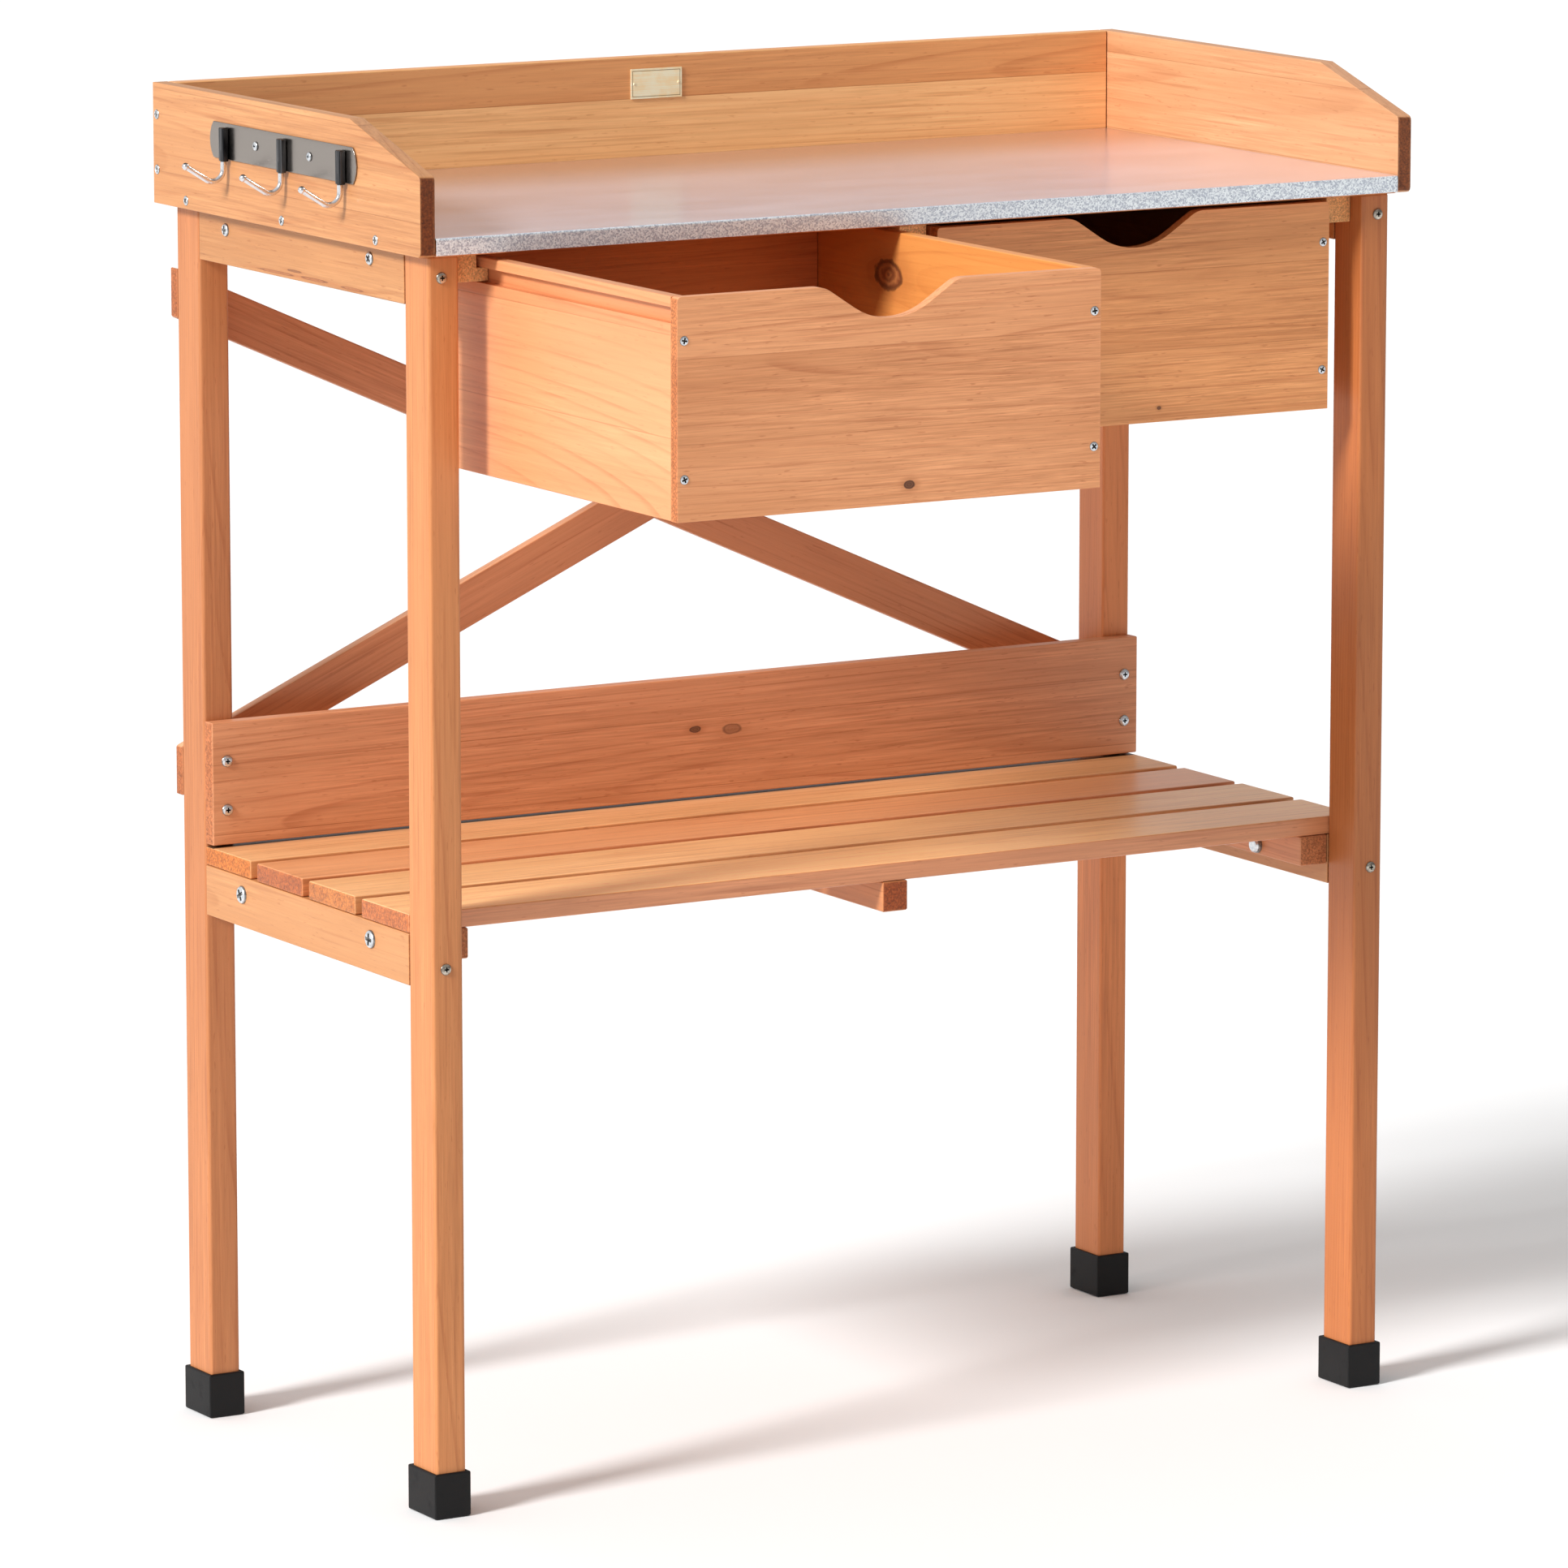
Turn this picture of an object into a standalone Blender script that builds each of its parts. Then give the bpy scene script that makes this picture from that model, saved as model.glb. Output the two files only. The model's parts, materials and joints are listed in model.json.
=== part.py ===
"""Potting bench: four square-edged legs on rubber feet, a galvanised worktop inside a raised
wooden tray, two drawers hung on rebated runners, a slatted lower shelf, a crossed back brace
and a rail of three coat hooks on the left side board.

Units are metres and +Z is up. The bench faces -Y. All sizes below are measured from the bench
datum: X = 0 midway between the legs, Y = 0 at the front face of the front legs, Z = 0 at the
floor. The whole bench is then moved so that the middle of its outline lies on the origin.
"""

import math

import bmesh
import bpy

# ---------------------------------------------------------------- driving dimensions
GAP = 0.0003  # air left between pieces that touch

HALF_WIDTH = 0.400  # outer faces of the legs
DEPTH = 0.385  # front face of front legs to rear face of rear legs
LEG_WIDE = 0.024  # leg section along X
LEG_DEEP = 0.036  # leg section along Y
LEG_TOP = 0.897

CAP_HEIGHT = 0.0325
CAP_WALL = 0.0022
CAP_FLOOR = 0.0030

BOARD = 0.0117  # thickness of the tray boards
TRAY_TOP = 0.985
TRAY_FRONT = -0.0105
SLANT_TOP_Y = 0.093
SLANT_FOOT_Z = 0.953
SLANT_EASE = 0.004

PANEL_THICK = 0.012
SHEET_THICK = 0.0008
SHEET_TOP = 0.9104
SHEET_FRONT = -0.0117
LIP_FOOT = 0.8983
LIP_BEND = 0.0017

APRON_FOOT = 0.860

BLOCK_SIDE = 0.0215  # runner block, along X
BLOCK_FOOT = 0.8755
TONGUE_TOP = 0.8850
TONGUE_REACH = 0.0093  # tongue beyond the block
RUNNER_FRONT = 0.0142
RUNNER_REAR = 0.383
DRAWER_PLAY = 0.0035  # between a runner block and a drawer side

DRAWER_FOOT = 0.7400
DRAWER_TOP = 0.8925
DRAWER_SHUT = 0.0050  # front face of a shut drawer
DRAWER_REAR = 0.3770
DRAWER_FRONT_THICK = 0.0088
DRAWER_SIDE_THICK = 0.0100
DRAWER_BACK_THICK = 0.0088
DRAWER_OPEN = 0.264  # how far out the left drawer stands
GROOVE_FOOT = 0.8742
GROOVE_TOP = 0.8853
GROOVE_DEEP = 0.0064
BOTTOM_FOOT = 0.7467
BOTTOM_THICK = 0.0040
BOTTOM_LET_IN = 0.0040
GRIP_DEEP = 0.0240  # finger cut-out
GRIP_BOWL = 0.055
GRIP_SHOULDER = 0.018
GRIP_SLOPE = math.radians(33.0)
FRONT_CORNER = 0.003

SHELF_TOP = 0.4290
SLAT_THICK = 0.0136
SLAT_WIDE = 0.0705
SLAT_SPACING = 0.0806
SLAT_FIRST = 0.0365
RAIL_FOOT = 0.3780
CLEAT_FOOT = 0.3930
CLEAT_WIDE = 0.0237
MID_CLEAT_WIDE = 0.0210
SHELF_BOARD_FOOT = 0.4308
SHELF_BOARD_TOP = 0.5215
SHELF_BOARD_THICK = 0.0120

BRACE_THICK = 0.0100
BRACE_TALL = 0.0364  # measured upright
BRACE_HIGH = 0.8500  # top edge at its high end
BRACE_LOW = 0.4970  # top edge at its low end

PLATE_CENTRE_X = 0.001
PLATE_CENTRE_Z = 0.9647
PLATE_WIDE = 0.044
PLATE_TALL = 0.0225
PLATE_THICK = 0.0008

HOOK_RAIL_FRONT = 0.086
HOOK_RAIL_REAR = 0.298
HOOK_RAIL_FOOT = 0.9395
HOOK_RAIL_TOP = 0.9655
HOOK_RAIL_THICK = 0.0012
HOOK_RAIL_BULGE = 0.0055
HOOK_Y = {"front": 0.099, "middle": 0.188, "rear": 0.277}
HOOK_TAB_WIDE = 0.0076
HOOK_TAB_FOOT = 0.9385
HOOK_TAB_TOP = 0.9625
HOOK_TAB_THICK = 0.0045
HOOK_WIRE = 0.0021
HOOK_BEND = 0.0085
HOOK_BEND_Z = 0.9330
HOOK_ARM = 0.020
HOOK_ARM_RISE = math.radians(32.0)
HOOK_BALL = 0.0027

SCREW_SHANK = 0.0018
SCREW_HOLE = 0.0022
SCREW_SIDES = 12
SCREW_END_PLAY = 0.0010  # hole left beyond a screw's end
SCREW_HEAD_RISE = 0.34  # height of a head against its radius
RECESS_ARM = 0.56  # reach of the cross against the head's radius
RECESS_HALF = 0.17  # half the width of an arm, likewise
RECESS_TAPER = 0.6
RECESS_DEPTH = 0.8  # against the arm's reach
LEG_SCREW = {"length": 0.0550, "head_radius": 0.0042}
LEG_SCREW_IN = 0.010  # from the outer face of the leg
LEG_SCREW_Z = {"upper": 0.8815, "lower": 0.3948}
SHELF_SCREW = {"length": 0.0300, "head_radius": 0.0044}
SHELF_SCREW_X = 0.388
SHELF_SCREW_Z = {"upper": 0.4927, "lower": 0.4566}
HOOK_SCREW = {"length": 0.0098, "head_radius": 0.0034}
HOOK_SCREW_Y = {"front": 0.150, "rear": 0.232}
HOOK_SCREW_Z = 0.9532

EASE = 0.0010  # rounding of board edges
LEG_EASE = 0.0024
CAP_EASE = 0.0012
RUNNER_EASE = 0.0005
DRAWER_EASE = 0.0008
SLAT_EASE = 0.0014
PLATE_EASE = 0.0002
HOOK_RAIL_EASE = 0.0003
HOOK_TAB_EASE = 0.0006
CUT_PAST = 0.005  # how far a cutter stands out of the piece it cuts
DRILL_LEAD = 0.002  # the same for a drilled hole
TIP_LENGTH = 0.003  # point of a screw
WIRE_LET_IN = 0.008  # wire inside a hook's tab
SHARP = math.radians(38.0)  # edges steeper than this stay crisp on round pieces

SIDE_FACE = HALF_WIDTH + GAP  # inner face of a side board
SIDE_OUTER = SIDE_FACE + BOARD
LEG_INNER = HALF_WIDTH - LEG_WIDE
REAR_LEG_FRONT = DEPTH - LEG_DEEP
BLOCK_FACE = LEG_INNER - BLOCK_SIDE  # inner face of a side runner
DRAWER_OUTER = BLOCK_FACE - DRAWER_PLAY
MID_BLOCK_HALF = 0.0113
DRAWER_INNER = MID_BLOCK_HALF + DRAWER_PLAY
HOOK_FACE = SIDE_OUTER + GAP + HOOK_RAIL_THICK
HOOK_WIRE_X = HOOK_FACE + GAP + HOOK_TAB_THICK * 0.6
HOOK_TIP_X = HOOK_WIRE_X + HOOK_BEND * (1 + math.sin(HOOK_ARM_RISE)) + HOOK_ARM * math.cos(HOOK_ARM_RISE)
BOARD_REAR = DEPTH + BOARD

CENTRE_SHIFT_X = (HOOK_TIP_X + HOOK_BALL - SIDE_OUTER) / 2
CENTRE_SHIFT_Y = -(BOARD_REAR + DRAWER_SHUT - DRAWER_OPEN) / 2

# ---------------------------------------------------------------- scene and materials
for old in list(bpy.data.objects):
    bpy.data.objects.remove(old, do_unlink=True)

bench = bpy.data.collections.new("potting_bench")
bpy.context.scene.collection.children.link(bench)
helpers = bpy.data.collections.new("potting_bench_cutters")
bpy.context.scene.collection.children.link(helpers)


def make_material(name, colour, roughness, metallic):
    material = bpy.data.materials.new(name)
    material.use_nodes = True
    shader = material.node_tree.nodes["Principled BSDF"]
    shader.inputs["Base Color"].default_value = (*colour, 1.0)
    shader.inputs["Roughness"].default_value = roughness
    shader.inputs["Metallic"].default_value = metallic
    return material


FIR_FRAME = make_material("fir_frame", (0.62, 0.30, 0.13), 0.55, 0.0)
FIR_BOARD = make_material("fir_board", (0.68, 0.34, 0.15), 0.55, 0.0)
FIR_DRAWER = make_material("fir_drawer", (0.66, 0.35, 0.17), 0.55, 0.0)
FIR_SHELF = make_material("fir_shelf", (0.52, 0.22, 0.09), 0.60, 0.0)
PLYWOOD = make_material("plywood", (0.60, 0.40, 0.22), 0.65, 0.0)
GALVANISED = make_material("galvanised_steel", (0.70, 0.70, 0.73), 0.30, 1.0)
RAIL_STEEL = make_material("rail_steel", (0.50, 0.50, 0.51), 0.35, 1.0)
HOOK_CHROME = make_material("hook_chrome", (0.75, 0.75, 0.76), 0.12, 1.0)
SCREW_ZINC = make_material("screw_zinc", (0.78, 0.79, 0.80), 0.30, 1.0)
RUBBER = make_material("rubber", (0.022, 0.022, 0.024), 0.75, 0.0)
BRASS = make_material("brass", (0.80, 0.62, 0.30), 0.30, 1.0)


def make_empty(name, location, parent=None):
    empty = bpy.data.objects.new(name, None)
    empty.empty_display_size = 0.05
    bench.objects.link(empty)
    empty.parent = parent
    empty.location = location
    return empty


ROOT = make_empty("bench_datum", (CENTRE_SHIFT_X, CENTRE_SHIFT_Y, 0.0))
LEFT_SLIDE = make_empty("left_drawer_slide", (-(DRAWER_INNER + DRAWER_OUTER) / 2, -DRAWER_OPEN, 0.0), ROOT)
RIGHT_SLIDE = make_empty("right_drawer_slide", ((DRAWER_INNER + DRAWER_OUTER) / 2, 0.0, 0.0), ROOT)


# ---------------------------------------------------------------- building blocks
def adopt(obj, name, material, parent, collection=None):
    """Names an object, moves it to its collection and hangs it from its parent."""
    obj.name = name
    obj.data.name = name
    for holder in list(obj.users_collection):
        holder.objects.unlink(obj)
    (collection or bench).objects.link(obj)
    if material:
        obj.data.materials.clear()
        obj.data.materials.append(material)
    obj.parent = parent
    return obj


def ease_edges(obj, width, segments):
    if width <= 0:
        return
    bevel = obj.modifiers.new("eased_edges", "BEVEL")
    bevel.width = width
    bevel.segments = segments
    bevel.limit_method = "ANGLE"
    bevel.angle_limit = math.radians(40.0)


def add_box(name, low, high, material, ease=EASE, segments=1, parent=ROOT, collection=None):
    """A block between two corners given from the bench datum, or from the parent slide."""
    size = [b - a for a, b in zip(low, high)]
    centre = [(a + b) / 2 for a, b in zip(low, high)]
    bpy.ops.mesh.primitive_cube_add(size=1.0)
    block = bpy.context.object
    for vertex in block.data.vertices:
        vertex.co = [c * s for c, s in zip(vertex.co, size)]
    adopt(block, name, material, parent, collection)
    block.location = centre
    ease_edges(block, ease, segments)
    return block


FACE_X = (math.radians(90.0), 0.0, math.radians(90.0))  # outline in Y and Z, thickness along X
FACE_Y = (math.radians(90.0), 0.0, 0.0)  # outline in X and Z, thickness along Y


def add_plate(name, outline, thickness, location, facing, material, ease=EASE, segments=1,
              parent=ROOT, collection=None):
    """A flat piece with the given outline, its thickness centred on its location."""
    curve = bpy.data.curves.new(name + "_outline", "CURVE")
    curve.dimensions = "2D"
    curve.fill_mode = "BOTH"
    curve.extrude = thickness / 2
    spline = curve.splines.new("POLY")
    spline.points.add(len(outline) - 1)
    for point, (across, up) in zip(spline.points, outline):
        point.co = (across, up, 0.0, 1.0)
    spline.use_cyclic_u = True
    drawn = bpy.data.objects.new(name + "_outline", curve)
    helpers.objects.link(drawn)
    plate = mesh_of(drawn, name)
    adopt(plate, name, material, parent, collection)
    plate.rotation_euler = facing
    plate.location = location
    ease_edges(plate, ease, segments)
    return plate


def mesh_of(drawn, name):
    """A mesh object with a curve's shape, its caps welded to its sides."""
    bpy.context.view_layer.update()
    graph = bpy.context.evaluated_depsgraph_get()
    mesh = bpy.data.meshes.new_from_object(drawn.evaluated_get(graph))
    work = bmesh.new()
    work.from_mesh(mesh)
    bmesh.ops.remove_doubles(work, verts=work.verts, dist=1e-6)
    bmesh.ops.recalc_face_normals(work, faces=work.faces)
    work.to_mesh(mesh)
    work.free()
    made = bpy.data.objects.new(name, mesh)
    bench.objects.link(made)
    made.matrix_world = drawn.matrix_world.copy()
    bpy.data.objects.remove(drawn, do_unlink=True)
    return made


def as_cutter(obj):
    for holder in list(obj.users_collection):
        holder.objects.unlink(obj)
    helpers.objects.link(obj)
    obj.hide_render = True
    obj.display_type = "WIRE"
    return obj


def combine(target, other, operation):
    boolean = target.modifiers.new(operation.lower(), "BOOLEAN")
    boolean.operation = operation
    boolean.solver = "EXACT"
    boolean.object = other


def cut_box(target, name, low, high, parent=ROOT):
    cutter = as_cutter(add_box(name, low, high, None, ease=0.0, parent=parent))
    combine(target, cutter, "DIFFERENCE")


def aim(axis):
    """Rotation that turns +Z to the given direction along X or Y."""
    return {"-X": (0.0, math.radians(-90.0), 0.0), "-Y": (math.radians(90.0), 0.0, 0.0)}[axis]


def drill(targets, name, start, axis, depth):
    """A screw hole entered at start, running against the given outward direction."""
    bpy.ops.mesh.primitive_cylinder_add(vertices=SCREW_SIDES, radius=SCREW_HOLE, depth=depth + 2 * DRILL_LEAD)
    hole = adopt(bpy.context.object, name, None, ROOT)
    inward = {"-X": (1.0, 0.0, 0.0), "-Y": (0.0, 1.0, 0.0)}[axis]
    middle = depth / 2
    hole.location = [s + d * middle for s, d in zip(start, inward)]
    hole.rotation_euler = aim(axis)
    as_cutter(hole)
    for target in targets:
        combine(target, hole, "DIFFERENCE")


def add_screw(name, seat, axis, length, head_radius):
    """A cross-recess screw: low domed head on the surface, plain shank in its hole."""
    head = head_radius * SCREW_HEAD_RISE
    bed = GAP
    profile = (
        (0.0, bed + head),
        (head_radius * 0.60, bed + head * 0.93),
        (head_radius * 0.92, bed + head * 0.55),
        (head_radius, bed),
        (SCREW_SHANK, bed),
        (SCREW_SHANK, TIP_LENGTH - length),
        (0.0, -length),
    )
    mesh = bpy.data.meshes.new(name)
    edges = [(i, i + 1) for i in range(len(profile) - 1)]
    mesh.from_pydata([(radius, 0.0, height) for radius, height in profile], edges, [])
    screw = adopt(bpy.data.objects.new(name, mesh), name, SCREW_ZINC, ROOT)
    turn = screw.modifiers.new("turned", "SCREW")
    turn.steps = SCREW_SIDES
    turn.render_steps = SCREW_SIDES
    turn.use_smooth_shade = True
    turn.use_merge_vertices = True
    turn.merge_threshold = 0.00005
    screw.location = seat
    screw.rotation_euler = aim(axis)
    recess = add_recess(name + "_recess", head_radius * RECESS_ARM, head_radius * RECESS_HALF, bed + head)
    recess.location = seat
    recess.rotation_euler = aim(axis)
    combine(screw, recess, "DIFFERENCE")
    return screw


def add_recess(name, arm, half, top):
    """The cross-shaped cutter of a screw's recess, narrowing as it goes in."""
    cross = ((arm, half), (half, half), (half, arm), (-half, arm), (-half, half), (-arm, half),
             (-arm, -half), (-half, -half), (-half, -arm), (half, -arm), (half, -half), (arm, -half))
    floor = top - arm * RECESS_DEPTH
    verts = [(x, y, top + DRILL_LEAD) for x, y in cross]
    verts += [(x * RECESS_TAPER, y * RECESS_TAPER, floor) for x, y in cross]
    count = len(cross)
    faces = [list(range(count)), list(range(2 * count - 1, count - 1, -1))]
    for i in range(count):
        after = (i + 1) % count
        faces.append([i, i + count, after + count, after])
    mesh = bpy.data.meshes.new(name)
    mesh.from_pydata(verts, [], faces)
    return as_cutter(adopt(bpy.data.objects.new(name, mesh), name, None, ROOT))


def arc(centre, radius, start, end, count):
    """Points along an arc, from one angle in degrees to another."""
    points = []
    for i in range(count + 1):
        angle = math.radians(start + (end - start) * i / count)
        points.append((centre[0] + radius * math.cos(angle), centre[1] + radius * math.sin(angle)))
    return points


# ---------------------------------------------------------------- legs and feet
def add_leg(place, x_low, y_low):
    return add_box(
        "leg_" + place,
        (x_low, y_low, CAP_FLOOR + GAP),
        (x_low + LEG_WIDE, y_low + LEG_DEEP, LEG_TOP),
        FIR_FRAME,
        LEG_EASE,
        2,
    )


def add_foot_cap(place, x_low, y_low):
    reach = GAP + CAP_WALL
    cap = add_box(
        "foot_cap_" + place,
        (x_low - reach, y_low - reach, 0.0),
        (x_low + LEG_WIDE + reach, y_low + LEG_DEEP + reach, CAP_HEIGHT),
        RUBBER,
        CAP_EASE,
        2,
    )
    cut_box(
        cap,
        "foot_socket_" + place,
        (x_low - GAP, y_low - GAP, CAP_FLOOR),
        (x_low + LEG_WIDE + GAP, y_low + LEG_DEEP + GAP, CAP_HEIGHT + CUT_PAST),
    )


legs = {}
for place, x_low, y_low in (
    ("front_left", -HALF_WIDTH, 0.0),
    ("front_right", LEG_INNER, 0.0),
    ("rear_left", -HALF_WIDTH, REAR_LEG_FRONT),
    ("rear_right", LEG_INNER, REAR_LEG_FRONT),
):
    legs[place] = add_leg(place, x_low, y_low)
    add_foot_cap(place, x_low, y_low)


# ---------------------------------------------------------------- aprons and shelf rails
def add_side_rail(name, side, foot, top, material):
    x_low = -HALF_WIDTH if side < 0 else LEG_INNER
    return add_box(
        name,
        (x_low, LEG_DEEP + GAP, foot),
        (x_low + LEG_WIDE, REAR_LEG_FRONT - GAP, top),
        material,
        EASE,
        2,
    )


RAIL_TOP = SHELF_TOP - SLAT_THICK - GAP
aprons = {}
shelf_rails = {}
for word, side in (("left", -1), ("right", 1)):
    aprons[word] = add_side_rail("apron_" + word, side, APRON_FOOT, LEG_TOP, FIR_BOARD)
    shelf_rails[word] = add_side_rail("shelf_rail_" + word, side, RAIL_FOOT, RAIL_TOP, FIR_BOARD)


# ---------------------------------------------------------------- worktop
PANEL_FOOT = LEG_TOP + GAP
add_box(
    "worktop_panel",
    (-HALF_WIDTH + GAP, TRAY_FRONT, PANEL_FOOT),
    (HALF_WIDTH - GAP, DEPTH - GAP, PANEL_FOOT + PANEL_THICK),
    FIR_BOARD,
)


def add_worktop_sheet():
    """Galvanised sheet over the panel, folded down in front as a lip."""
    inner_front = SHEET_FRONT + SHEET_THICK
    under = SHEET_TOP - SHEET_THICK
    bend = (SHEET_FRONT + LIP_BEND, SHEET_TOP - LIP_BEND)
    outline = [(SHEET_FRONT, LIP_FOOT)]
    outline += arc(bend, LIP_BEND, 180.0, 90.0, 4)
    outline += [(DEPTH - GAP, SHEET_TOP), (DEPTH - GAP, under)]
    outline += arc(bend, LIP_BEND - SHEET_THICK, 90.0, 180.0, 3)
    outline += [(inner_front, LIP_FOOT)]
    add_plate(
        "worktop_sheet",
        outline[::-1],
        2 * (HALF_WIDTH - GAP),
        (0.0, 0.0, 0.0),
        FACE_X,
        GALVANISED,
        0.0,
    )


add_worktop_sheet()


# ---------------------------------------------------------------- tray boards
def side_board_outline():
    foot = PANEL_FOOT
    slope = math.atan2(TRAY_TOP - SLANT_FOOT_Z, SLANT_TOP_Y - TRAY_FRONT)
    turn = math.degrees(slope)
    ease = SLANT_EASE
    lower = (TRAY_FRONT + ease, foot + ease)
    tangent = ease * math.tan((math.pi / 2 - slope) / 2)
    upper = (TRAY_FRONT + ease, SLANT_FOOT_Z - tangent)
    outline = [(BOARD_REAR, foot)]
    outline += [(BOARD_REAR, TRAY_TOP), (SLANT_TOP_Y, TRAY_TOP)]
    outline += arc(upper, ease, 90.0 + turn, 180.0, 3)
    outline += arc(lower, ease, 180.0, 270.0, 3)
    return outline[::-1]


side_boards = {}
for word, side in (("left", -1), ("right", 1)):
    side_boards[word] = add_plate(
        "side_board_" + word,
        side_board_outline(),
        BOARD,
        (side * (SIDE_FACE + BOARD / 2), 0.0, 0.0),
        FACE_X,
        FIR_BOARD,
        EASE,
        2,
    )

add_box(
    "back_board",
    (-HALF_WIDTH + GAP, DEPTH, PANEL_FOOT),
    (HALF_WIDTH - GAP, BOARD_REAR, TRAY_TOP),
    FIR_BOARD,
    EASE,
    2,
)

add_box(
    "name_plate",
    (PLATE_CENTRE_X - PLATE_WIDE / 2, DEPTH - GAP - PLATE_THICK, PLATE_CENTRE_Z - PLATE_TALL / 2),
    (PLATE_CENTRE_X + PLATE_WIDE / 2, DEPTH - GAP, PLATE_CENTRE_Z + PLATE_TALL / 2),
    BRASS,
    PLATE_EASE,
)


# ---------------------------------------------------------------- drawer runners
def add_runner(name, outline):
    return add_plate(
        name,
        outline,
        RUNNER_REAR - RUNNER_FRONT,
        (0.0, (RUNNER_FRONT + RUNNER_REAR) / 2, 0.0),
        FACE_Y,
        FIR_FRAME,
        RUNNER_EASE,
    )


def side_runner_outline(side):
    """Block against the leg, with a tongue along its foot towards the drawer."""
    outer = LEG_INNER - GAP
    outline = [
        (outer, BLOCK_FOOT),
        (outer, LEG_TOP),
        (BLOCK_FACE, LEG_TOP),
        (BLOCK_FACE, TONGUE_TOP),
        (BLOCK_FACE - TONGUE_REACH, TONGUE_TOP),
        (BLOCK_FACE - TONGUE_REACH, BLOCK_FOOT),
    ]
    if side < 0:
        return [(-across, up) for across, up in outline[::-1]]
    return outline


def centre_runner_outline():
    """Block under the middle of the worktop, with a tongue on each side."""
    half = MID_BLOCK_HALF
    reach = half + TONGUE_REACH
    right = [(half, LEG_TOP), (half, TONGUE_TOP), (reach, TONGUE_TOP), (reach, BLOCK_FOOT)]
    left = [(-across, up) for across, up in right[::-1]]
    return right + left


add_runner("runner_left", side_runner_outline(-1))
add_runner("runner_right", side_runner_outline(1))
add_runner("runner_centre", centre_runner_outline())


# ---------------------------------------------------------------- drawers
DRAWER_HALF = (DRAWER_OUTER - DRAWER_INNER) / 2
FRONT_BACK_FACE = DRAWER_SHUT + DRAWER_FRONT_THICK
SIDE_START = FRONT_BACK_FACE + GAP
BACK_FACE = DRAWER_REAR - DRAWER_BACK_THICK


def drawer_front_outline():
    """Board with eased top corners and a smooth finger cut-out in its top edge."""
    slope = math.degrees(GRIP_SLOPE)
    sine = math.sin(GRIP_SLOPE)
    bowl_rise = GRIP_BOWL * (1 - math.cos(GRIP_SLOPE))
    shoulder_fall = GRIP_SHOULDER * (1 - math.cos(GRIP_SLOPE))
    straight = (GRIP_DEEP - bowl_rise - shoulder_fall) / math.tan(GRIP_SLOPE)
    reach = GRIP_BOWL * sine + straight + GRIP_SHOULDER * sine
    half = DRAWER_HALF
    corner = FRONT_CORNER
    outline = [(-half, DRAWER_FOOT), (half, DRAWER_FOOT)]
    outline += arc((half - corner, DRAWER_TOP - corner), corner, 0.0, 90.0, 3)
    outline += arc((reach, DRAWER_TOP - GRIP_SHOULDER), GRIP_SHOULDER, 90.0, 90.0 + slope, 4)
    bowl = (0.0, DRAWER_TOP - GRIP_DEEP + GRIP_BOWL)
    outline += arc(bowl, GRIP_BOWL, -90.0 + slope, -90.0 - slope, 10)
    outline += arc((-reach, DRAWER_TOP - GRIP_SHOULDER), GRIP_SHOULDER, 90.0 - slope, 90.0, 4)
    outline += arc((-half + corner, DRAWER_TOP - corner), corner, 90.0, 180.0, 3)
    return outline


def add_drawer(word, slide):
    """Five boards, placed from the slide at the drawer's middle."""
    half = DRAWER_HALF
    thick = DRAWER_SIDE_THICK
    side_length = (SIDE_START, DRAWER_REAR)
    front = add_plate(
        f"drawer_{word}_front",
        drawer_front_outline(),
        DRAWER_FRONT_THICK,
        (0.0, DRAWER_SHUT + DRAWER_FRONT_THICK / 2, 0.0),
        FACE_Y,
        FIR_DRAWER,
        DRAWER_EASE,
        1,
        slide,
    )
    sides = {}
    for hand, sign in (("left", -1), ("right", 1)):
        outer = sign * half
        inner = sign * (half - thick)
        sides[hand] = add_box(
            f"drawer_{word}_side_{hand}",
            (min(outer, inner), side_length[0], DRAWER_FOOT),
            (max(outer, inner), side_length[1], DRAWER_TOP),
            FIR_DRAWER,
            DRAWER_EASE,
            1,
            slide,
        )
        groove_floor = sign * (half - GROOVE_DEEP)
        past = sign * (half + CUT_PAST)
        cut_box(
            sides[hand],
            f"drawer_{word}_groove_{hand}",
            (min(groove_floor, past), side_length[0] - CUT_PAST, GROOVE_FOOT),
            (max(groove_floor, past), side_length[1] + CUT_PAST, GROOVE_TOP),
            slide,
        )
    back = add_box(
        f"drawer_{word}_back",
        (-half + thick + GAP, BACK_FACE, DRAWER_FOOT),
        (half - thick - GAP, DRAWER_REAR, DRAWER_TOP),
        FIR_DRAWER,
        DRAWER_EASE,
        1,
        slide,
    )
    reach = half - thick + BOTTOM_LET_IN
    front_end = FRONT_BACK_FACE - BOTTOM_LET_IN
    rear_end = BACK_FACE + BOTTOM_LET_IN
    slot = bottom_slot(word, reach, front_end, rear_end, slide)
    for board in (front, back, sides["left"], sides["right"]):
        combine(board, slot, "DIFFERENCE")
    add_box(
        f"drawer_{word}_bottom",
        (-reach, front_end, BOTTOM_FOOT),
        (reach, rear_end, BOTTOM_FOOT + BOTTOM_THICK),
        PLYWOOD,
        0.0,
        1,
        slide,
    )


def bottom_slot(word, reach, front_end, rear_end, slide):
    """The room that the bottom takes in the four boards around it."""
    slot = add_box(
        f"drawer_{word}_bottom_slot",
        (-reach - GAP, front_end - GAP, BOTTOM_FOOT - GAP),
        (reach + GAP, rear_end + GAP, BOTTOM_FOOT + BOTTOM_THICK + GAP),
        None,
        0.0,
        1,
        slide,
    )
    return as_cutter(slot)


add_drawer("left", LEFT_SLIDE)
add_drawer("right", RIGHT_SLIDE)


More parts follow.
